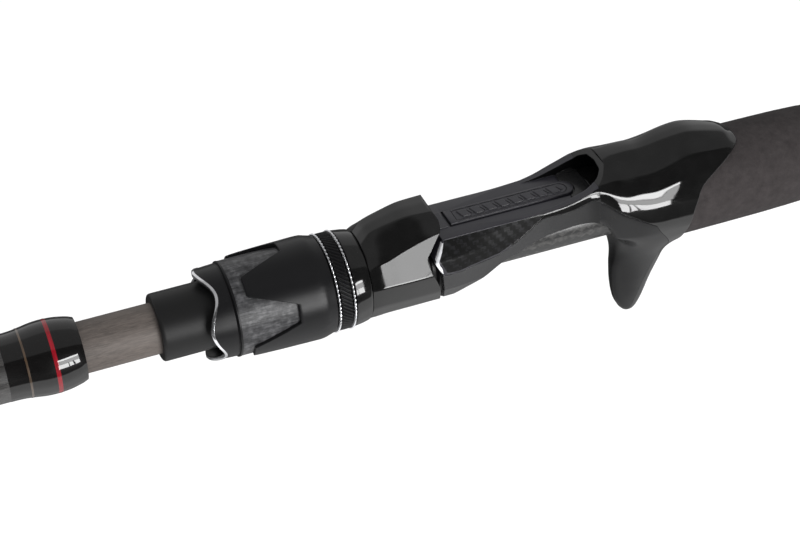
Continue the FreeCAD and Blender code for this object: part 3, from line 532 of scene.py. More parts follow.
class Shader(Nodes):
    """The nodes of one material, which is kept in MATERIALS."""

    SOCKETS = {"color": "Base Color", "rough": "Roughness", "metal": "Metallic", "coat": "Coat Weight",
               "coat_rough": "Coat Roughness", "spec": "Specular IOR Level"}

    def __init__(self, name):
        self.mat = MATERIALS[name] = bpy.data.materials.new(name)
        super().__init__(self.mat)
        self.bsdf = self.tree.nodes["Principled BSDF"]

    def put(self, **values):
        for key, value in values.items():
            self.feed(self.bsdf.inputs[self.SOCKETS[key]], value)

    def bump(self, height, strength, distance, soften=0.0):
        """Relief from a height, on edges rounded by soften."""
        node = self.add("ShaderNodeBump")
        for name, value in (("Strength", strength), ("Distance", distance), ("Height", height)):
            self.feed(node.inputs[name], value)
        if soften:
            edge = self.add("ShaderNodeBevel", samples=4)
            edge.inputs["Radius"].default_value = soften
            self.feed(node.inputs["Normal"], edge.outputs[0])
        self.feed(self.bsdf.inputs["Normal"], node.outputs[0])


def gloss_black(name, base, rough, soften):
    s = Shader(name)
    s.put(color=s.span(s.noise(220.0, 3.0), base * 0.75, base * 1.3),
          rough=s.span(s.noise(900.0), rough * 0.85, rough * 1.3, 0.3, 0.75), spec=0.5)
    s.bump(s.noise(160.0, 1.0), 0.04, 0.0004, soften)


def satin_black(name, base, rough, spec, soften):
    s = Shader(name)
    grain = s.noise(5200.0)
    s.put(color=s.mix(s.noise(150.0), tuple(0.85 * c for c in base), tuple(1.15 * c for c in base)),
          rough=s.span(grain, rough * 0.9, rough * 1.1), spec=spec)
    s.bump(grain, 0.12, 0.00003, soften)


def make_blacks():
    gloss_black("gloss_black", 0.004, 0.08, 0.00022)
    gloss_black("palm_gloss", 0.0035, 0.05, 0.0003)
    gloss_black("collar_gloss", 0.004, 0.06, 0.0002)
    satin_black("satin_black", (0.0048, 0.0048, 0.0054), 0.34, 0.22, 0.0002)
    # Near-black satin for the pocket's inner walls: painted shade of the recess.
    satin_black("pocket_painted_shade", (0.0022, 0.0022, 0.0024), 0.5, 0.08, 0.0002)
    satin_black("matte_black", (0.0062, 0.0062, 0.0064), 0.45, 0.24, 0.0002)
    satin_black("platform_grey", (0.0165, 0.0160, 0.0205), 0.34, 0.42, 0.0003)


def make_graphite():
    """Flaked graphite of the rail, darker from x 56 to x 81."""
    s = Shader("graphite")
    flake = s.noise(2600.0)
    depth = s.math("MULTIPLY_ADD", s.axes()[0], 40.0, 40.0 * (ORIGIN_X - 56.0) * MM)
    tone = s.ramp(depth, ((0.0, (0.026, 0.026, 0.027)), (0.5, (0.014, 0.014, 0.0145)),
                          (1.0, (0.0035, 0.0035, 0.004))))
    s.put(color=s.mix(s.math("MULTIPLY", flake, 0.5), tone, 0.004),
          rough=s.span(s.noise(500.0), 0.17, 0.24), spec=0.27)
    s.bump(flake, 0.04, 0.00003, 0.0003)


def carbon_streaks(s):
    """Lengthwise fibres of a unidirectional carbon skin."""
    fine = s.noise(1.0, 3.0, s.scaled(260.0, 2600.0, 2600.0), 0.6)
    broad = s.noise(1.0, 2.0, s.scaled(220.0, 900.0, 900.0))
    return s.math("ADD", s.math("MULTIPLY", fine, 0.65), s.math("MULTIPLY", broad, 0.35))


def weave(s, pitch, angle_deg):
    """Twill weave around the rod: 0 on one set of tows and 1 on the other."""
    x, y, z = s.axes()
    around = s.math("ARCTAN2", s.math("ADD", z, STRIP_TOP_Z * MM), y)
    u = s.math("DIVIDE", x, pitch)
    v = s.math("MULTIPLY", around, 9.0 * MM / pitch)
    c, q = math.cos(math.radians(angle_deg)), math.sin(math.radians(angle_deg))
    along = s.math("FLOOR", s.math("ADD", s.math("MULTIPLY", u, c), s.math("MULTIPLY", v, q)))
    across = s.math("FLOOR", s.math("SUBTRACT", s.math("MULTIPLY", v, c), s.math("MULTIPLY", u, q)))
    phase = s.math("FRACT", s.math("ADD", s.math("MULTIPLY", along, 0.25), s.math("MULTIPLY", across, 0.25)))
    return s.math("GREATER_THAN", phase, 0.45)


def make_carbons():
    s = Shader("carbon_streaks")
    fibre = carbon_streaks(s)
    patch = s.noise(700.0, 3.0, None, 0.6)
    mixed = s.math("ADD", s.math("MULTIPLY", fibre, 0.55), s.math("MULTIPLY", patch, 0.45))
    s.put(color=s.ramp(mixed, ((0.36, (0.010, 0.010, 0.011)), (0.5, (0.034, 0.034, 0.036)),
                               (0.62, (0.080, 0.080, 0.083)))),
          rough=s.span(fibre, 0.42, 0.3), spec=0.25)
    s.bump(mixed, 0.15, 0.00005)

    s = Shader("carbon_panel")
    tow = weave(s, 0.0008, 90.0)
    fibre = s.noise(1.0, 2.0, s.scaled(900.0, 900.0, 2600.0))
    base = s.mix(tow, 0.005, (0.0125, 0.0125, 0.0135))
    s.put(color=s.mix(s.span(fibre, 0.0, 1.0, 0.4, 0.6), base, 0.006),
          rough=s.span(tow, 0.50, 0.36, 0.0, 1.0), spec=0.07)
    s.bump(tow, 0.10, 0.00004)

    s = Shader("tip_carbon")
    fibre = carbon_streaks(s)
    s.put(color=s.span(fibre, 0.010, (0.045, 0.043, 0.042), 0.35, 0.65),
          rough=s.span(fibre, 0.3, 0.2), coat=0.3, coat_rough=0.15)
    s.bump(fibre, 0.06, 0.00003)


def make_sanded_blank():
    """Raw sanded fibres ahead of the seat, and woven carbon inside it."""
    s = Shader("sanded_blank")
    fine = s.noise(1.0, 4.0, s.scaled(420.0, 5200.0, 5200.0), 0.65)
    broad = s.noise(1.0, 2.0, s.scaled(60.0, 420.0, 420.0))
    raw = s.mix(s.span(fine, 0.0, 1.0, 0.3, 0.72), (0.030, 0.024, 0.021), (0.100, 0.082, 0.071))
    raw = s.mix(s.span(broad, 0.0, 0.55, 0.35, 0.75), raw, (0.115, 0.096, 0.085))
    cloth = s.mix(weave(s, 0.0019, 45.0), 0.008, (0.036, 0.035, 0.034))
    cloth = s.mix(s.span(s.noise(900.0, 3.0), 0.0, 1.0, 0.42, 0.62), cloth, 0.008)
    under = s.math("GREATER_THAN", s.axes()[0], -20.0 * MM)
    s.put(color=s.mix(under, raw, cloth), rough=s.span(under, 0.62, 0.3, 0.0, 1.0))
    s.bump(fine, 0.3, 0.00006)


def make_wraps():
    s = Shader("thread_coated")
    thread = s.math("SINE", s.math("MULTIPLY", s.axes()[0], 2.0 * math.pi / 0.00032))
    thread = s.math("MULTIPLY_ADD", thread, 0.5, 0.5)
    s.put(color=s.span(thread, 0.0015, (0.0045, 0.004, 0.004), 0.0, 1.0),
          rough=0.3, spec=0.04, coat=1.0, coat_rough=0.025)
    s.bump(s.noise(120.0), 0.03, 0.0004)

    for name, dark, light, rough, spec in (
            ("red_metal", (0.12, 0.0015, 0.005), (0.21, 0.003, 0.010), 0.35, 0.05),
            ("gold_thread", (0.02, 0.012, 0.006), (0.07, 0.04, 0.02), 0.3, 0.5)):
        s = Shader(name)
        turns = s.noise(1.0, 2.0, s.scaled(6000.0, 300.0, 300.0))
        s.put(color=s.span(turns, dark, light), rough=rough, spec=spec, coat=1.0, coat_rough=0.03)


def make_metals():
    """Metals and the guides' ceramic, each slightly uneven in shade and polish."""
    for name, patches, dark, light, grain, smooth, rough, metal in (
            # The chevron strip's light grey is partly a painted highlight of the panels' front edges.
            ("chevron_silver_and_highlight", 900.0, (0.72, 0.73, 0.76), (0.95, 0.95, 0.97), 1500.0, 0.3, 0.45, 0.55),
            ("polished_silver", 700.0, (0.78, 0.79, 0.82), (0.93, 0.93, 0.95), 1500.0, 0.12, 0.22, 1.0),
            ("guide_metal", 800.0, 0.09, 0.15, 1800.0, 0.2, 0.3, 1.0),
            ("ceramic_ring", 700.0, 0.012, 0.02, 900.0, 0.08, 0.14, 0.0)):
        s = Shader(name)
        s.put(color=s.span(s.noise(patches), dark, light), rough=s.span(s.noise(grain), smooth, rough),
              metal=metal)


def make_foams():
    s = Shader("eva_foam")
    cells = s.add("ShaderNodeTexVoronoi")
    cells.inputs["Scale"].default_value = 2600.0
    s.feed(cells.inputs["Vector"], s.coord)
    pores = s.span(cells.outputs["Distance"], 0.0, 1.0, 0.1, 0.55)
    mottle = s.noise(420.0, 5.0, None, 0.7)
    s.put(color=s.mix(s.span(mottle, 0.0, 1.0), (0.0195, 0.0165, 0.0168), (0.0325, 0.0280, 0.0282)),
          rough=0.93, spec=0.25)
    s.bump(s.math("ADD", pores, s.math("MULTIPLY", mottle, 0.6)), 0.45, 0.00006)

    s = Shader("soft_pad")
    nap = s.noise(3000.0, 3.0)
    s.put(color=s.span(nap, 0.008, 0.016), rough=0.9)
    s.bump(nap, 0.3, 0.00004)


# -------- pieces
def slot_material(slot):
    return MATERIALS[SLOT_MATERIAL.get(slot, slot)]


def dress_nodes():
    """Procedural material for every CAD node that stays."""
    slots = {part["node"]: part["material_slot"] for part in frame["record"]["subparts"]}
    for name, node in frame["nodes"].items():
        material = slot_material(slots[name])
        if not node.material_slots:
            node.data.materials.append(material)
        for slot in node.material_slots:
            slot.material = material


def finish_piece(ob, name, body, slot, *nodes, material=None, angle=35.0):
    """Names a piece, gives it its material and fixes it to its body."""
    ob.name = name
    mesh = ob.data
    mesh.name = name
    bm = bmesh.new()
    bm.from_mesh(mesh)
    bmesh.ops.remove_doubles(bm, verts=bm.verts, dist=2e-6)
    bmesh.ops.dissolve_degenerate(bm, dist=1e-6, edges=bm.edges)
    bm.to_mesh(mesh)
    bm.free()
    mesh.shade_smooth()
    mesh.set_sharp_from_angle(angle=math.radians(angle))
    mesh.materials.clear()
    mesh.materials.append(MATERIALS[material] if material else slot_material(slot))
    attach(ob, body)
    if nodes:
        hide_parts(*nodes)
    return ob


def replace_node(ob, node, body, slot, **looks):
    """Finishes the piece that takes one CAD node's place."""
    return finish_piece(ob, node + "_skin", body, slot, node, **looks)


def second_material(ob, name, chosen):
    """Gives another material to the faces whose middle, in rod coordinates, is chosen."""
    ob.data.materials.append(MATERIALS[name])
    number = len(ob.data.materials) - 1
    for face in ob.data.polygons:
        x, y, z = face.center / MM
        if chosen(x + ORIGIN_X, abs(y), z + STRIP_TOP_Z, face.normal):
            face.material_index = number


# -------- seat
def ramp_up(v, low, high):
    t = np.clip((v - low) / (high - low), 0.0, 1.0)
    return t * t * (3.0 - 2.0 * t)


def trigger_blade():
    """Curved blade whose cross-section grows blunter towards the seat."""
    sides = 56
    rings = []
    for z, front, rear, half in eased(TRIGGER_SECTIONS, 0.6, least=2):
        middle, reach = 0.5 * (front + rear), 0.5 * (rear - front)
        blunt = 1.0 - 0.4 * ramp_up(z, -16.0, -9.0)
        ring = []
        for k in range(sides):
            c, q = math.cos(2 * math.pi * k / sides), math.sin(2 * math.pi * k / sides)
            ring.append((middle + reach * c, half * math.copysign(abs(q) ** blunt, q), z))
        rings.append(ring)
    return skin(rings)


def strip_ring(z, half, x_low, x_high):
    """Outline of the deck strip: square in front and round behind."""
    centre = x_high - half
    ring = [(x_low, -half, z), (centre, -half, z)]
    for k in range(1, 20):
        a = -0.5 * math.pi + math.pi * k / 20
        ring.append((centre + half * math.cos(a), half * math.sin(a), z))
    return ring + [(centre, half, z), (x_low, half, z)]


def cut_below(body):
    """The underside, with the open space between the rail and the trigger."""
    return combine(body, side_prism(eased_line(UNDERCUT) + [(78.8, -14.0), (30.5, -14.0)]))


def cut_seat(body):
    """The reel foot's room, the blank's bore and the ends of the seat."""
    ahead = list(SEAT_FRONT_EDGE) + [(10.0, -40.0), (10.0, 40.0)]
    behind = eased_line(SEAT_REAR_EDGE) + [(140.0, 14.3), (140.0, -14.0)]
    mouth = [(10.0, PLATFORM_Z)] + eased_line(MOUTH_EDGE) + [(74.3, 40.0), (10.0, 40.0)]
    combine(body, side_prism(ahead), side_prism(behind), cylinder(15.0, 28.2, RUN_R),
            cylinder(15.0, 140.0, BLANK_R), side_prism(mouth),
            loft(POCKET_SECTIONS, ((50.0, (0, 0.01, 1.2, 1.4, 1.6, 0)),)))


def palm_weight(x, y, z):
    """How much the palm shell is smoothed: least at its front and on its crest."""
    return 0.6 * ramp_up(x, 69.0, 76.0) * (1.0 - 0.75 * ramp_up(z, 13.0, 16.0)) + 0.05


def root_weight(x, y, z):
    """How much the root of the trigger is blended into the shell."""
    return 0.8 * ramp_up(x, 71.0, 75.0) * ramp_up(z, -19.0, -13.0) * ramp_up(-z, 1.5, 5.0)


def seat_solids():
    """The seat's front and its palm shell with the trigger, which overlap."""
    front = cut_below(loft(SEAT_SECTIONS, SEAT_RADII, passes=1))
    palm = cut_below(loft(SEAT_SECTIONS, SEAT_RADII, passes=2, x_low=66.0))
    combine(palm, side_prism(PALM_UNDERSIDE))
    rear = remeshed(joined([palm, trigger_blade()]), 0.34)
    relax(rear, palm_weight, 14)
    relax(rear, root_weight, 220)
    relax(rear, lambda x, y, z: 0.35, 4)
    cut_seat(front)
    cut_seat(rear)
    combine(front, skin([strip_ring(z, 3.3, 32.4, 67.7) for z in (9.2, 9.95)]))
    corners = ((28.9, -3.2), (31.9, -3.2), (31.9, 3.2), (28.9, 3.2))
    tread = [[(x, y, z) for x, y in corners] for z in (9.4, 9.98)]
    front = joined([front, skin(tread)])
    divide = [(70.42, 60.0), (70.42, -60.0), (150.0, -60.0), (150.0, 60.0)]
    combine(front, side_prism(divide))
    combine(rear, side_prism(divide), how="INTERSECT")
    return front, rear


def cut_rail(front, rear):
    """Takes the lower rail off both solids and leaves a fine joint line."""
    line = eased_line(RAIL_TOP_EDGE)
    back = eased_line(RAIL_REAR_EDGE)[1:]
    below = [(x, z - 0.04) for x, z in line] + back + [(20.0, -60.0)]
    above = [(x, z + 0.04) for x, z in line] + [(x + 0.08, z) for x, z in back] + [(20.0, -60.0)]
    pieces = []
    for part in (front, rear):
        pieces.append(combine(duplicate(part), side_prism(below), how="INTERSECT"))
        combine(part, side_prism(above))
    return joined(pieces)


def cut_panels(front):
    """Takes the side panels off the front, with a thin space under them."""
    panels = []
    for low, high in ((7.36, 40.0), (-40.0, -7.36)):
        panels.append(combine(duplicate(front), side_prism(PANEL_OUTLINE, low, high), how="INTERSECT"))
    for low, high in ((7.31, 40.0), (-40.0, -7.31)):
        combine(front, side_prism(PANEL_OUTLINE, low, high))
    return panels


def chevron_strip(side):
    """Light, half-metallic strip on the front of a side panel; its brightness is partly a painted highlight of
    that edge.
    """
    rings = []
    for k, (x, z, y) in enumerate(CHEVRON_LINE):
        width = 0.3 if k in (0, len(CHEVRON_LINE) - 1) else 0.75
        outline = ((-0.02, -0.9), (-0.02, -0.12), (0.18, 0.04), (width, 0.06), (width + 0.1, -0.05),
                   (width + 0.1, -0.9))
        rings.append([(x + dx, side * (y + dy), z) for dx, dy in outline])
    return skin(rings)


def on_platform_side(x, y, z, normal):
    return x > 46.0 and y > 7.45 and normal.z < 0.62


# Inner walls of the pocket, which get painted shade.
def on_pocket_wall(x, y, z, normal):
    return x > 57.0 and y < 6.45 and 9.72 < z < 16.5 and normal.z < 0.5


def build_seat():
    front, rear = seat_solids()
    rail = cut_rail(front, rear)
    panels = cut_panels(front)
    replace_node(rail, "trigger_rail", "handle", "gloss_black", material="graphite")
    finish_piece(rear, "palm_skin", "handle", "gloss_black", "palm_shell", "trigger_rail",
                 material="palm_gloss")
    replace_node(front, "seat_platform", "handle", "platform_grey")
    second_material(front, "palm_gloss", on_platform_side)
    # Painted shade: the pocket's inner walls get the near-black material.
    for part in (front, rear):
        second_material(part, "pocket_painted_shade", on_pocket_wall)
    for side, name, panel in zip((1.0, -1.0), ("right", "left"), panels):
        replace_node(panel, "side_panel_" + name, "handle", "carbon_inlay")
        # Its light colour is partly a painted highlight.
        finish_piece(chevron_strip(side), "chevron_" + name, "handle", "polished_silver",
                     material="chevron_silver_and_highlight")


def slanted_bar(x, reach, half, top):
    """Short raised bar of the strip's plain pattern."""
    lean = 0.4
    corners = ((lean - half, -reach), (lean + half, -reach), (half - lean, reach), (-half - lean, reach))
    rings = []
    for z, inset in ((10.0, 0.0), (top - 0.08, 0.0), (top, 0.08)):
        rings.append([(x + dx * (1 - inset / max(abs(dx), 0.2)), dy * (1 - inset / max(abs(dy), 0.2)), z)
                      for dx, dy in corners])
    return skin(rings)


def build_strip():
    edge = ((9.3, 0.0), (10.05, 0.0), (10.16, 0.04), (10.2, 0.14))
    base = skin([strip_ring(z, 2.85 - inset, 32.8 + inset, 67.25 - inset) for z, inset in edge])
    combine(base, skin([strip_ring(z, 2.15, 34.6, 65.6) for z in (9.98, 12.0)]))
    pieces = [base, skin([strip_ring(z, 1.95, 34.8, 65.4) for z in (9.9, 10.14)])]
    for i in range(8):
        x = 37.4 + i * 3.5
        pieces.append(slanted_bar(x, 1.35, 1.15, 10.42))
        pieces.append(slanted_bar(x + 1.72, 0.8, 0.26, 10.36))
    replace_node(joined(pieces), "deck_strip", "handle", "platform_grey")


# -------- hood
def build_hood():
    body = loft(HOOD_SECTIONS, HOOD_RADII, 0.4, 6)
    behind = eased_line(HOOD_REAR_EDGE, 0.8) + [(60.0, -12.0), (60.0, 18.5), (24.6, 18.5)]
    combine(body, side_prism(behind), cylinder(-5.0, 60.0, RUN_R),
            loft(HOOD_ROOM_SECTIONS, ((10.0, (0, 0.8, 0.5, 0.3, 0)),)))
    flange = lathe(((4.4, RUN_R), (4.4, 11.0), (5.4, 11.0), (5.4, 10.6), (9.5, 10.6), (9.5, RUN_R)))
    finish_piece(joined([body, flange]), "hood_skin", "hood", "gloss_black", "hood_shell")


def build_hood_pad():
    """Soft liner under the roof of the hood, with rounded edges and three shallow grooves."""
    front, rear = 17.05, 25.35
    rings = []
    for k in range(65):
        x = front + 8.3 * k / 64
        end = min(1.0, min(x - front, rear - x) / 0.45 + 0.04)
        ease = math.sqrt(1.0 - (1.0 - end) ** 2)
        top = np.interp(x, (17.0, 20.5, 25.4), (15.2, 15.9, 16.2)) - 0.03
        low = np.interp(x, (17.0, 20.5, 25.4), (14.1, 14.8, 15.05)) + 0.03
        low += 0.16 * max(0.0, math.cos(math.pi * (x - front) / 2.075)) ** 12
        middle, half = 0.5 * (top + low), 0.5 * (top - low) * ease
        ring = []
        for i in range(40):
            c, q = math.cos(math.pi * i / 20), math.sin(math.pi * i / 20)
            ring.append((x, (2.45 + 0.3 * ease) * math.copysign(abs(c) ** 0.35, c),
                         middle + half * math.copysign(abs(q) ** 0.5, q)))
        rings.append(ring)
    pad = skin(rings)
    finish_piece(pad, "hood_pad_foam", "hood", "soft_pad", "hood_pad", angle=50.0)


# -------- nut
def crown_front(a):
    """Station of the crown's wavy front edge at an angle in radians."""
    period = math.radians(90.0)
    off = (a - math.radians(FINGER_PHASE) + 0.5 * period) % period - 0.5 * period
    u = max(-1.0, min(1.0, 11.5 * math.sin(off) / 8.6))
    return CROWN_TIP_X + (CROWN_DIP_X - CROWN_TIP_X) * 0.5 * (1.0 + math.cos(math.pi * u))


def crown_outline(a):
    front = crown_front(a)
    return [(front + 0.25, 10.5), (front, 10.62), (front - 0.02, 11.2), (front + 0.12, 11.38),
            (front + 0.6, 11.42), (-28.0, 11.55), (CROWN_REAR_X, 11.65), (CROWN_REAR_X, 10.42),
            (-28.4, 10.42)]


def crown_edge_outline(a):
    front = crown_front(a)
    return [(front - 0.1, 10.7), (front - 0.12, 11.3), (front - 0.02, 11.48), (front + 0.16, 11.56),
            (front + 0.62, 11.58), (front + 0.66, 11.3), (front + 0.1, 10.9)]


def shroud_front(a):
    """Front edge of the shroud: four fingers with straight sides between windows."""
    off = abs((math.degrees(a) - FINGER_PHASE + 45.0) % 90.0 - 45.0)
    t = (off - 12.0) / 21.5
    soft = 0.05
    if t < soft:
        t = max(0.0, (t + soft)) ** 2 / (4 * soft)
    elif t > 1.0 - soft:
        t = 1.0 - max(0.0, 1.0 + soft - t) ** 2 / (4 * soft)
    return SHROUD_FRONT_X + (WINDOW_REAR_X - SHROUD_FRONT_X) * min(1.0, t)


def shroud_radius(x):
    return float(np.interp(x, *zip(*SHROUD_PROFILE)))


def shroud_outline(a):
    front, rear, inside = shroud_front(a), SHROUD_REAR_X, 11.97
    edge = shroud_radius(front)
    outline = [(front + 0.02, inside), (front, edge - 0.2), (front + 0.06, edge - 0.06)]
    for k in range(19):
        x = front + 0.2 + (rear - front - 0.25) * k / 18
        outline.append((x, shroud_radius(x)))
    outline += [(rear, 12.22), (rear, inside)]
    return outline + [(rear + (front + 0.02 - rear) * k / 6, inside) for k in range(1, 6)]


def knurl_outline(a):
    """Slanted ridges, 72 of them round the ring."""
    outline = [(0.3, 11.2)]
    for k in range(17):
        x = 0.3 + 2.7 * k / 16
        phase = (a * 72 / (2 * math.pi) + (x - 0.3) * 0.75) % 1.0
        ridge = 1.0 - abs(2.0 * phase - 1.0)
        outline.append((x, 11.95 + 0.42 * min(1.0, ridge * 1.35)))
    return outline + [(3.0, 11.2)]


def bead_outline(x_mid):
    """Ring of 66 beads at a station."""
    def outline(a):
        size = 0.06 + 0.25 * (0.5 + 0.5 * math.cos(a * 66)) ** 0.7
        turns = (-0.9 + k * (math.pi + 1.8) / 8 for k in range(9))
        ring = [(x_mid + size * math.cos(t), 12.36 + size * math.sin(t)) for t in turns]
        return [(x_mid + 0.36, 11.3), (x_mid + 0.3, 12.05), *ring, (x_mid - 0.3, 12.05), (x_mid - 0.36, 11.3)]
    return outline


def build_nut_front():
    replace_node(swept_ring(crown_outline), "nut_crown", "nut", "satin_black")
    finish_piece(swept_ring(crown_edge_outline), "nut_crown_edge", "nut", "polished_silver")
    core = ((-28.0, RUN_R), (-28.0, 10.4), (CROWN_REAR_X + 0.05, 10.4), (CROWN_REAR_X + 0.05, 11.45),
            (-25.6, 11.5), (-25.5, 12.05), (-25.0, 12.05), (-24.9, 11.2), (3.0, 11.2), (3.0, RUN_R))
    replace_node(lathe(softened(core, 0.08)), "nut_core", "nut", "satin_black")
    sleeve = lathe(((-25.0, 11.2), (-25.0, 11.93), (-20.0, 11.95), (-7.6, 11.95), (-7.6, 11.2)))
    replace_node(sleeve, "nut_carbon_sleeve", "nut", "carbon_inlay", material="carbon_streaks")
    replace_node(swept_ring(shroud_outline, 720), "nut_shroud", "nut", "satin_black")


def build_nut_rear():
    replace_node(swept_ring(knurl_outline, 888), "nut_knurled_ring", "nut", "satin_black", angle=20.0)
    for name, x in (("nut_bead_front", -0.3), ("nut_bead_rear", 3.6)):
        replace_node(swept_ring(bead_outline(x), 792), name, "nut", "polished_silver", angle=60.0)
    groove, bore = 11.08, 10.68
    collar = ((3.0, RUN_R), (3.0, 11.2), (RING_REAR_X, 11.2), (RING_REAR_X, 12.25), (5.0, 12.2), (6.8, 11.95),
              (8.0, 11.7), (8.5, 11.5), (8.5, bore), (5.6, bore), (5.6, groove), (4.2, groove), (4.2, RUN_R))
    replace_node(lathe(softened(collar, 0.18)), "nut_rear_collar", "nut", "gloss_black",
                 material="collar_gloss")


# -------- blank, wraps and grips
def build_front():
    sleeve = ((-43.5, 6.36), (-43.5, 7.9), (-43.2, 8.35), (-42.7, 8.45), (-30.0, 8.45), (-26.0, 8.45),
              (-26.0, 6.42))
    replace_node(lathe(softened(sleeve, 0.3, 5)), "seat_front_sleeve", "handle", "matte_black")
    swell = ((-62.0, 7.7), (-63.2, 8.15), (-64.6, 8.5), (-66.5, 8.85), (-68.5, 9.02), (-70.5, 9.05),
             (-72.5, 8.9), (-74.5, 8.6), (-76.5, 8.32), (-78.4, 8.18), (-80.6, 8.13))
    wrap = [(-80.6, 7.16), (-62.25, 7.16), (-62.05, 7.4)] + eased_line(swell, 0.25)
    red = ((-69.55, 8.6), (-69.5, 9.06), (-69.0, 9.09), (-68.5, 9.06), (-68.45, 8.6))
    gold = ((-75.9, 8.0), (-75.85, 8.46), (-75.6, 8.49), (-75.35, 8.50), (-75.3, 8.0))
    for node, profile, slot in (("ferrule_wrap", wrap, "thread_coated"), ("ferrule_red_ring", red, "red_metal"),
                                ("ferrule_gold_ring", gold, "gold_thread")):
        replace_node(lathe(profile, 192), node, "tip_section", slot)


def foam(stations, seed):
    """Tube of foam with the slight unevenness of a sanded grip."""
    sides = 160
    rings = []
    for x, radius, rise in stations:
        ring = []
        for i in range(sides):
            a = 2.0 * math.pi * i / sides
            spot = Vector((x * 0.55, math.cos(a) * 7.0, math.sin(a) * 7.0 + seed))
            r = radius + 0.035 * noise.noise(spot)
            ring.append((x, -r * math.cos(a), rise + r * math.sin(a)))
        rings.append(ring)
    return skin(rings)


def build_grips():
    stations = ((90.0, 12.7, GRIP_RISE), (117.0, 12.7, GRIP_RISE), (135.0, 12.35, GRIP_RISE),
                (152.0, 11.5, 0.7), (166.0, 10.5, 0.2), (174.2, 9.75, 0.0))
    rear = foam(eased(stations, 1.0) + [(174.7, 9.55, 0.0), (174.95, 9.2, 0.0)], 3.0)
    ahead = [(80.0, -40.0), (93.4, -40.0)] + eased_line(SEAT_REAR_EDGE) + [(112.6, 40.0), (80.0, 40.0)]
    combine(rear, side_prism(ahead), cylinder(60.0, 200.0, 7.05))
    finish_piece(rear, "rear_grip_foam", "handle", "eva_foam", "rear_grip", angle=50.0)
    line = ((262.1, 9.2), (262.6, 9.6), (268.0, 11.35), (270.0, 11.9), (272.0, 12.3), (275.0, 12.5),
            (300.0, 12.5), (317.4, 12.5), (317.8, 12.3), (317.95, 12.0))
    butt = foam(eased([(x, r, 0.0) for x, r in line], 1.0), 9.0)
    combine(butt, cylinder(240.0, 340.0, 7.15))
    finish_piece(butt, "butt_grip_foam", "handle", "eva_foam", "butt_grip", angle=50.0)


# -------- camera and stage
LENS_MM = 85.0
SENSOR_MM = 36.0
SWING = math.radians(15.86)
ELEVATION = math.radians(39.5)
ROLL = math.radians(14.96)
DISTANCE = 0.4665
AIM_RIGHT = 18.57 * MM
AIM_UP = 3.91 * MM


def make_camera():
    data = bpy.data.cameras.new("camera")
    data.lens = LENS_MM
    data.sensor_width = SENSOR_MM
    back = Vector((-math.sin(SWING), -math.cos(SWING) * math.cos(ELEVATION),
                   math.cos(SWING) * math.sin(ELEVATION)))
    across = (Vector((1, 0, 0)) - back * back.x).normalized()
    above = back.cross(across)
    right = across * math.cos(ROLL) - above * math.sin(ROLL)
    up = across * math.sin(ROLL) + above * math.cos(ROLL)
    cam = bpy.data.objects.new("camera", data)
    spot = Vector((-ORIGIN_X * MM, 0.0, -STRIP_TOP_Z * MM)) + back * DISTANCE
    spot += right * AIM_RIGHT + up * AIM_UP
    cam.matrix_world = Matrix.Translation(spot) @ Matrix((right, up, back)).transposed().to_4x4()
    data.clip_start = 0.01
    data.clip_end = 100.0
    bpy.context.collection.objects.link(cam)
    bpy.context.scene.camera = cam


# How far the floor is darkened for reflections, from front to back.
FLOOR_SHADE = ((0.06, 0.93), (0.12, 0.0), (0.48, 0.0), (0.6, 0.45), (0.7, 0.6), (0.78, 0.93))


def make_stage():
    """Pale floor, with a darker shade in what gloss reflects of it."""
    reach, low = 30.0, -0.16
    mesh = bpy.data.meshes.new("floor")
    mesh.from_pydata([(-reach, -reach, low), (reach, -reach, low), (reach, reach, low), (-reach, reach, low)],
                     [], [(0, 1, 2, 3)])
    floor = bpy.data.objects.new("floor", mesh)
    bpy.context.collection.objects.link(floor)
    s = Shader("floor_white")
    s.put(color=0.95, rough=1.0, spec=0.0)
    shaded = s.ramp(s.math("MULTIPLY_ADD", s.axes()[1], 2.0, 0.6), FLOOR_SHADE)
    dark = s.add("ShaderNodeBsdfDiffuse")
    s.feed(dark.inputs["Color"], 0.02)
    both = s.add("ShaderNodeMixShader")
    for number, value in enumerate((s.math("MULTIPLY", s.glossy_ray(), shaded), s.bsdf.outputs[0],
                                    dark.outputs[0])):
        s.feed(both.inputs[number], value)
    s.feed(s.tree.nodes["Material Output"].inputs["Surface"], both.outputs[0])
    mesh.materials.append(s.mat)


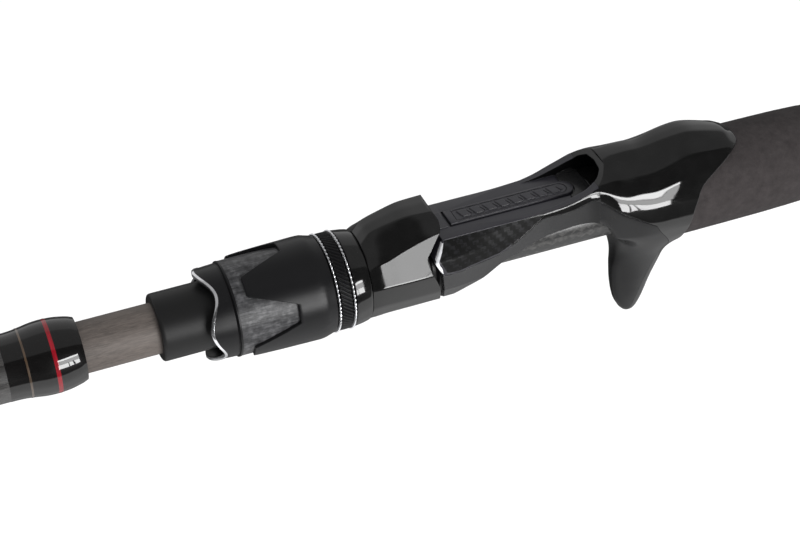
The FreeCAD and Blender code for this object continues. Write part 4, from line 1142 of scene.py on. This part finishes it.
# What gloss reflects round the rod's axis: degrees up from the camera's side, and brightness.
ROOM = ((-180, 0.75), (-92, 0.75), (-80, 0.05), (53, 0.05), (56, 0.34), (116, 0.38), (121, 0.62), (180, 0.75))


def make_world():
    """White room for soft light, with a dark side in front for what gloss reflects."""
    world = bpy.data.worlds.new("studio")
    n = Nodes(world, "Generated")
    x, y, z = n.axes()
    angle = n.math("ARCTAN2", z, n.math("MULTIPLY", y, -1.0))
    room = n.ramp(n.math("MULTIPLY_ADD", angle, 0.5 / math.pi, 0.5),
                  [(0.5 + degrees / 360.0, value) for degrees, value in ROOM])
    n.feed(n.tree.nodes["Background"].inputs["Color"], n.mix(n.glossy_ray(), 1.05, room))
    bpy.context.scene.world = world
    bpy.context.scene.view_settings.view_transform = "Standard"


# Softbox panes: azimuth from and to in degrees to the right of the camera's side, elevation
# from and to, and brightness.
PANES = ((3, 30, 14.5, 19.5, 20), (3, 30, 4, 14, 8), (2, 15, -12.5, 3.5, 18), (16.5, 21, -10, 3.5, 18),
         (22, 29, -11, 3.5, 18))


def make_lights():
    """The panes, a metre from the frame's origin."""
    for i, (left, right, low, high, radiance) in enumerate(PANES):
        azimuth, elevation = math.radians(0.5 * (left + right)), math.radians(0.5 * (low + high))
        width, height = math.radians(right - left), math.radians(high - low)
        data = bpy.data.lights.new("softbox_%d" % i, "AREA")
        data.shape = "RECTANGLE"
        data.size, data.size_y = width, height
        data.energy = radiance * math.pi * width * height
        light = bpy.data.objects.new("softbox_%d" % i, data)
        light.location = (math.sin(azimuth), -math.cos(azimuth) * math.cos(elevation), math.sin(elevation))
        light.rotation_euler = (-light.location).to_track_quat("-Z", "Y").to_euler()
        light.visible_camera = False
        bpy.context.collection.objects.link(light)


for make in (make_blacks, make_graphite, make_carbons, make_sanded_blank, make_wraps, make_metals, make_foams,
             make_camera, make_stage, make_world, make_lights, dress_nodes, build_seat, build_strip,
             build_hood, build_nut_front, build_nut_rear, build_front, build_grips, build_hood_pad):
    make()
